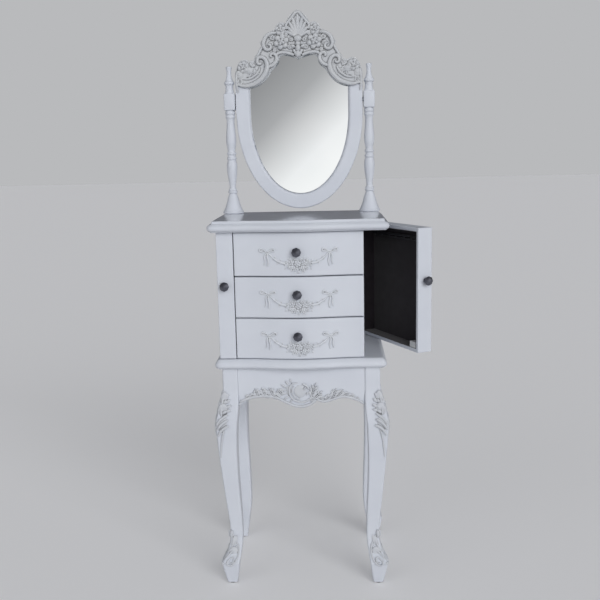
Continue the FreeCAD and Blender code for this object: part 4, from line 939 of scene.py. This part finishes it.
# Garlands on the drawers
swag = {
    "voxel": 0.75,
    "rasp": 1,
    # right half: two ribbon loops, two tails and the cord
    "strands": [
        [
            (70, 1, 0.9, 1.6), (63, 6.5, 1.3, 1.8), (57, 7.5, 1.4, 2), (55, 3.5, 1.4, 2),
            (61, 0.5, 1.2, 1.8), (69, 0, 0.9, 1.6),
        ],
        [
            (74, 1, 0.9, 1.6), (81, 6.5, 1.3, 1.8), (88, 8, 1.4, 2), (90, 4, 1.4, 2), (84, 0.5, 1.2, 1.8),
            (75, 0, 0.9, 1.6),
        ],
        [(71, -2, 0.9, 1.9), (72, -11, 1.2, 2.4), (69.5, -21, 1.2, 2.4), (71.5, -33, 0.8, 2.2)],
        [(74, -2, 0.9, 1.7), (78, -10, 1.2, 2.1), (77, -20, 1.2, 2.1), (79.5, -30, 0.8, 1.9)],
        [
            (69, -3, 0.6, 1.6), (61, -11, 0.9, 2.1), (51, -18.5, 1, 2.7), (41, -23.5, 1, 3.2),
            (30, -26, 1.1, 3.6),
        ],
    ],
    "lumps": [
        (72, 1, 2.8, 2.5, 2.4, 0, 1.2), (62, 4.2, 6.2, 2.8, 1.2, 160, 0.5),
        (82.5, 4.4, 6.6, 2.8, 1.2, 20, 0.5), (12, -25, 20, 9, 1.5, 0, 0.2), (9, -36, 12, 9, 1.5, 0, 0.2),
    ],
    "leaves": [
        (40, -20.5, 6, 3.6, 62, 0.7), (45, -25, 6, 3.6, -35, 0.7), (53, -14, 5, 3.2, 70, 0.6),
        (57, -17, 5, 3.2, -30, 0.6),
    ],
    # posy in the middle, loosely bound
    "flowers": [
        (-2, -27, 8.6, 6, 2.2), (13, -25, 7, 5, 2), (-16.5, -24.5, 6.8, 5, 1.9), (25, -25, 5.4, 5, 1.6),
        (-27.5, -23, 4.8, 5, 1.5), (7, -38.5, 6.6, 5, 1.9), (-9, -39, 6.2, 5, 1.9),
        (19.5, -36.5, 5.6, 5, 1.6), (-21.5, -35, 5.2, 5, 1.6), (5, -16.5, 4.2, 5, 1.6),
        (-9, -16, 4, 5, 1.5), (20, -17, 4, 5, 1.5), (-22, -15.5, 3.4, 4, 1.3), (32, -19.5, 3.4, 4, 1.3),
        (0, -46.5, 3.8, 5, 1.4), (13.5, -45, 3.2, 4, 1.2), (29.5, -31, 3.6, 4, 1.3),
        (-30.5, -29.5, 3.2, 4, 1.2), (-16, -43.5, 3, 4, 1.2), (35.5, -24.5, 2.8, 4, 1.2),
    ],
    "posyLeaves": [
        (27, -37, 7, 4, -30, 0.9), (-27, -36, 7, 4, 215, 0.9), (8, -46, 5, 3.4, -55, 0.8),
        (-7, -46, 5, 3.4, 240, 0.8), (12, -15, 5, 3.4, 60, 0.8),
    ],
}


def swagDepth(u):
    return -drawerFront["front"] - bowAt(u, drawerFront["halfWidth"])


def makeSwags():
    work = {**swag, "strands": mirrorStrands(swag["strands"]), "lumps": bothSides(swag, "lumps")}
    work["leaves"] = [*bothSides(swag, "leaves"), *swag["posyLeaves"]]
    first = knob["levels"]["upper"]
    pattern = carve(frontFace(first, swagDepth), work)
    for drawer, level in knob["levels"].items():
        piece = pattern if drawer == "lower" else copyOf(pattern, drawer)
        piece.data.transform(Matrix.Translation((0, 0, (level - first) * mm)))
        name, body, slot = f"{drawer}_garland", f"{drawer}_drawer", "carved_white_wood"
        finishPiece(piece, name, body, slot, [body + "_swag"], smoothBelow=60, finish=swagRelief)


makeSwags()
print("garlands laid on the drawers")

# Shell work along the front apron
apronCarving = {
    "voxel": 0.9,
    "rasp": 1,
    "face": -130.0,
    "strands": [
        [  # rim along the lower edge, left of the middle and right of it
            (-150, 459, 0.8, 2.6), (-144, 469, 1.2, 3), (-131, 474.5, 1.4, 3.2), (-118, 478, 1.5, 3.4),
            (-104, 480.5, 1.5, 3.6), (-90, 481.5, 1.5, 3.6), (-76, 480.5, 1.5, 3.6), (-62, 478, 1.5, 3.6),
            (-48, 471.5, 1.5, 3.6), (-34, 464.5, 1.6, 3.6), (-18, 457.5, 1.8, 3.8), (-3, 455, 1.8, 3.8),
            (12, 457, 1.8, 3.8), (25, 462.5, 1.6, 3.4), (35, 470, 1.2, 2.8),
        ],
        [
            (38, 472, 1.2, 2.8), (45, 468.5, 1.4, 3.2), (52, 467, 1.5, 3.4), (64, 468.5, 1.5, 3.6),
            (75, 472, 1.5, 3.6), (92, 477.5, 1.5, 3.6), (107, 478, 1.5, 3.6), (124, 473.5, 1.4, 3.4),
            (139, 467, 1.2, 3), (150, 459, 0.8, 2.6),
        ],
        [  # great scroll round the cartouche
            (-8, 513, 1.4, 1.8), (-17, 512, 1.8, 2.2), (-25, 506, 2, 2.4), (-29, 496, 2, 2.5),
            (-28, 485, 2, 2.5), (-22, 475, 2, 2.6), (-11, 468, 2, 2.8), (3, 466, 2, 2.8),
            (16, 470.5, 2, 2.6), (23, 479, 2, 2.3), (21, 487, 2.2, 2), (14, 488, 2.4, 1.8),
            (14, 483, 2.6, 1.5),
        ],
        [(3, 511, 2, 2.4), (12, 506, 2.5, 2.8), (18, 498, 2.5, 2.6)],
        [
            (-19, 505, 1.2, 1.5), (-22, 495, 1.4, 1.7), (-20, 484, 1.4, 1.8), (-13, 476, 1.4, 1.8),
            (-3, 472.5, 1.4, 1.6),
        ],
        [(-62, 484, 1.5, 2), (-75, 490, 1.5, 2.4), (-92, 493, 1.5, 2.4), (-106, 489, 1.5, 2)],
        [(58, 475, 1.5, 2), (72, 484, 1.5, 2.4), (86, 490, 1.5, 2.2), (98, 488, 1.5, 1.8)],
    ],
    "lumps": [
        (-3, 492, 15, 16, 2.4, 0, 0.2), (-7, 487, 8, 9, 2.4, 40, 0.9), (-34, 513, 7.5, 2.8, 2.8, 128, 1.4),
        (-42, 506, 8.5, 3, 2.8, 148, 1.4), (-45, 497, 9, 3, 2.8, 166, 1.4),
        (-43, 487, 8.5, 3, 2.8, 186, 1.4), (-36, 477, 7.5, 3, 2.8, 212, 1.4),
        (-25, 468, 5.5, 2.6, 2.6, 235, 1.4), (-25, 518, 6, 2.6, 2.6, 108, 1.4),
        (8, 500, 5, 2.2, 2.8, 50, 2.4), (-30, 494, 6, 12, 2, 0, 0.4),
    ],
    "leaves": [
        (-44, 482, 22, 13, 128, 1.6), (-52, 476, 22, 13, 152, 1.6), (-66, 481, 24, 14, 118, 1.6),
        (-72, 480, 22, 12, 160, 1.4), (-86, 482, 22, 14, 112, 1.6), (-92, 482, 20, 12, 158, 1.4),
        (-104, 481, 21, 13, 108, 1.6), (-110, 480, 18, 11, 165, 1.4), (-124, 477, 14, 9, 150, 1.2),
        (-136, 472, 13, 7, 195, 1), (23, 478, 37, 14, 70, 2), (29, 474, 28, 14, 42, 2),
        (36, 472, 20, 11, 14, 1.6), (20, 470, 15, 9, 20, 2), (56, 471, 20, 12, 40, 1.6),
        (68, 474, 22, 13, 28, 1.4), (74, 476, 25, 14, 66, 1.8), (86, 480, 21, 13, 46, 1.6),
        (98, 480, 19, 11, 24, 1.4), (112, 478, 17, 10, 12, 1.2), (126, 474, 14, 8, -8, 1),
        (138, 468, 11, 6, -35, 0.9),
    ],
}


def makeApronCarving():
    piece = carve(frontFace(0, lambda u: apronCarving["face"]), apronCarving)
    cutBack(piece, apronCarving["face"])
    name, slot, node = "apron_shellwork", "carved_white_wood", "apron_carving"
    finishPiece(piece, name, "cabinet", slot, [node], smoothBelow=60, finish=lowRelief)


makeApronCarving()
print("apron carved")

# Bent legs
leg = {
    "halfWidth": 188.0,
    "halfDepth": 132.0,
    "rounding": 4.0,
    "bendSteps": 5,
    "levels": 110,
    "footCuts": (60.0, 58.0, 56.0),
    # height, how far the outer faces stand out past the head, width across
    "sections": [
        (549.5, 0, 37), (520, 0, 37), (502, 0, 37), (490, 1, 38), (474, 4.8, 41.8), (455, 10.4, 47.2),
        (435, 15, 50), (415, 17.2, 49.8), (390, 17.2, 48.4), (350, 14.8, 45), (300, 10.8, 41),
        (250, 6.2, 37.6), (200, 1.2, 34.6), (165, -2.6, 31.9), (138, -4.6, 30.4), (120, -4.8, 30),
        (105, -3, 30.9), (92, 0.2, 32.6), (80, 4.6, 35.2), (69, 10.2, 39), (62, 14.6, 42), (58, 16.4, 43),
        (54, 16, 42.2), (40, 13.4, 38), (20, 9.2, 31), (7, 6.3, 26), (3, 5, 24.2),
    ],
}


def legSection(level):
    # a smooth line through the sections: outer reach and width at one level
    rows = leg["sections"]
    i = next(i for i, below in enumerate(rows[1:]) if below[0] <= level)
    high, low = rows[i][0], rows[i + 1][0]
    share = (high - level) / (high - low)
    s2, s3 = share**2, share**3
    found = []
    for column in (1, 2):
        slopes = []
        for j in (i, i + 1):
            before, after = rows[max(j - 1, 0)], rows[min(j + 1, len(rows) - 1)]
            slopes.append((after[column] - before[column]) / (before[0] - after[0]) * (high - low))
        curve = (2 * s3 - 3 * s2 + 1) * rows[i][column] + (3 * s2 - 2 * s3) * rows[i + 1][column]
        found.append(curve + (s3 - 2 * s2 + share) * slopes[0] + (s3 - s2) * slopes[1])
    return found


def makeLeg(name, sideX, sideY):
    rows = []
    top, sole = leg["sections"][0][0], leg["sections"][-1][0]
    even = [top + (sole - top) * i / leg["levels"] for i in range(leg["levels"] + 1)]
    for level in sorted({*even, *leg["footCuts"]}, reverse=True):
        reach, width = legSection(level)
        soft = leg["rounding"]
        middle = (leg["halfWidth"] + reach - width / 2, leg["halfDepth"] + reach - width / 2)
        half = width / 2 - soft
        row = []
        for corner in range(4):
            cornerX = half if corner in (0, 3) else -half
            cornerY = half if corner in (0, 1) else -half
            for i in range(-1, leg["bendSteps"] + 2):
                bent = min(max(i, 0), leg["bendSteps"])
                angle, past = radians(90 * (corner + bent / leg["bendSteps"])), i - bent
                x = middle[0] + cornerX + soft * cos(angle) - past * sin(angle)
                y = middle[1] + cornerY + soft * sin(angle) + past * cos(angle)
                row.append((sideX * x, sideY * y, level))
        rows.append(row)
    finishPiece(loftRows(rows), name + "_shaped", "cabinet", "white_painted_wood", [name], smoothBelow=42)


for end, sideY in (("front", -1), ("back", 1)):
    for hand, sideX in (("right", 1), ("left", -1)):
        makeLeg(f"{end}_{hand}_leg", sideX, sideY)
print("legs shaped")

# Leaf carving on the front legs
legCarving = {
    "voxel": 0.9,
    "rasp": 1,
    "sink": 1.8,
    # u runs back from the outer front edge over the front; the side has the same, set deeper
    "strands": [
        [
            (-1, 492, 0.8, 2.6), (-3, 478, 1.8, 3), (-5, 462, 2.2, 3.2), (-7, 448, 2.2, 3),
            (-10, 438, 1.8, 2.6),
        ],
        [(-25, 441, 1.4, 2.6), (-17, 436, 2.4, 3.3), (-8, 428, 2.4, 3.3), (0, 416, 1, 2.6)],
        [(-27, 428, 1.4, 2.8), (-19, 423, 2.6, 3.5), (-9, 414, 2.6, 3.5), (0, 401, 1, 2.6)],
        [(-30, 413, 1.8, 3.2), (-22, 410, 2.8, 3.7), (-12, 402, 2.6, 3.5), (-3, 388, 1, 2.6)],
        [(-18, 402, 1.2, 2.6), (-13, 384, 1.2, 2.4), (-8, 358, 1, 2.2), (-4, 332, 0.4, 1.6)],
        [
            (-1, 136, 0.2, 1.6), (-7, 122, 0.8, 2), (-15, 108, 1.1, 2.2), (-23, 94, 1.2, 2.2),
            (-28, 80, 1.2, 2.2), (-30, 68, 1.3, 2.3), (-27, 57, 1.6, 2.5), (-19, 53, 1.8, 2.6),
            (-12, 58, 1.8, 2.6), (-12, 67, 1.8, 2.4), (-19, 71, 1.9, 2.2), (-24, 66, 2.1, 2),
            (-22, 60, 2.3, 1.8), (-18, 61.5, 2.6, 1.7),
        ],
        [(-21, 101, 0.6, 1.8), (-14, 90, 1.3, 2.7), (-6, 78, 1.2, 2.6), (-1, 66, 0.6, 2)],
        [(-2, 124, 0.2, 1.8), (-7, 108, 0.9, 2.4), (-6, 94, 1, 2.4), (-1, 82, 0.4, 2)],
    ],
    "lumps": [
        (-7, 474, 20, 9, 2.6, 95, 0.2), (-11, 448, 20, 12, 2.8, 95, 0.2), (-13, 418, 18, 12, 2.6, 110, 0.2),
        (-3, 489, 7.5, 4, 3.2, 110, 1.2), (-11, 482, 8, 4.2, 3.2, 125, 1.4),
        (-17, 471, 8, 4.2, 3.4, 135, 1.4), (-10, 469, 7, 3.6, 3.2, 120, 1.8),
        (-22, 459, 8, 4.4, 3.6, 150, 1.5), (-14, 456, 7.5, 4.2, 3.8, 140, 1.9),
        (-24, 449, 7, 3.8, 3.4, 165, 1.4), (-15, 446, 6.5, 4, 3.6, 150, 1.8),
        (-4, 455, 8, 3.6, 3.2, 100, 1.4), (-2, 127, 11, 4.4, 6, 98, 1.4), (-9, 104, 22, 7, 2, 110, -0.2),
        (-15, 82, 14, 11, 2, 100, -0.2), (-1, 58, 4, 4, 2.6, 0, 0.2),
    ],
}


def legFace(u, level):
    out = legSection(level)[0]
    x, y, soft = leg["halfWidth"] + out, -(leg["halfDepth"] + out), leg["rounding"]
    bend = soft * pi / 4
    if u < -bend:
        return Vector((x - soft + u + bend, y, level)), forward, rightward
    sunk = x - legCarving["sink"]
    if u > bend:
        return Vector((sunk, y + soft + u - bend, level)), rightward, -forward
    turn = pi / 4 + u / soft
    normal = Vector((sin(turn), -cos(turn), 0))
    middle = Vector((x - soft - legCarving["sink"] * (u + bend) / (2 * bend), y + soft, level))
    return middle + normal * soft, normal, Vector((cos(turn), sin(turn), 0))


def makeLegCarvings():
    strands, lumps = mirrorStrands(legCarving["strands"]), bothSides(legCarving, "lumps")
    right = carve(legFace, {**legCarving, "strands": strands, "lumps": lumps})
    left = copyOf(right, "left")
    editAll(left)
    bpy.ops.transform.resize(value=(-1, 1, 1), center_override=(0, 0, 0))
    bpy.ops.mesh.normals_make_consistent(inside=False)
    leaveEdit()
    for hand, piece in (("right", right), ("left", left)):
        name = hand + "_leg_leaves"
        finishPiece(piece, name, "cabinet", "carved_white_wood", (), smoothBelow=60, finish=lowRelief)


makeLegCarvings()
print("legs carved")

# Mirror frame, eased wider round the glass
mirrorFrame = {
    "halfWidth": 159.5,
    "waist": 1149.5,
    "corner": 1218.5,
    "reach": 1.0,  # eased so far past the corners
    "frontDepth": 0.1,
    "profile": 0.38,
    # where each edge lies as a share of the frame's outline, and how wide it is eased
    "edges": {"inner": (0.7, 0.92, 7.5), "outer": (0.97, 1.1, 3.0)},
}


def makeMirrorFrame():
    piece = meshCopy("mirror_frame")
    points = [vertex.co / mm for vertex in piece.data.vertices]
    front, foot = min(point.y for point in points), min(point.z for point in points)
    waist, top = mirrorFrame["waist"], mirrorFrame["corner"] + mirrorFrame["reach"]
    for name, (low, high, ease) in mirrorFrame["edges"].items():
        edge = piece.vertex_groups.new(name=name)
        for i, vertex in enumerate(piece.data.vertices):
            point = vertex.co / mm
            out = hypot(point.x / mirrorFrame["halfWidth"], max(waist - point.z, 0) / (waist - foot))
            if low < out < high and point.y < front + mirrorFrame["frontDepth"] and point.z < top:
                edge.add([i], 1, "ADD")
        settings = {"width": ease * mm, "segments": 3, "profile": mirrorFrame["profile"]}
        where = {"use_clamp_overlap": False, "limit_method": "VGROUP", "vertex_group": name}
        applyModifier(piece, "BEVEL", {**settings, **where})
    piece.vertex_groups.clear()
    finishPiece(piece, "mirror_frame_sanded", "mirror", "white_painted_wood", ["mirror_frame"])
    flattenFaces(piece)


makeMirrorFrame()

# Flocked trays
trays = {
    "ease": 0.5,
    "bodies": ["upper_drawer", "middle_drawer", "lower_drawer", "left_door", "right_door"],
}
for body in trays["bodies"]:
    easedCopy(body + "_lining", body + "_flock", body, "black_velvet", trays["ease"])
print("frame sanded, trays flocked")
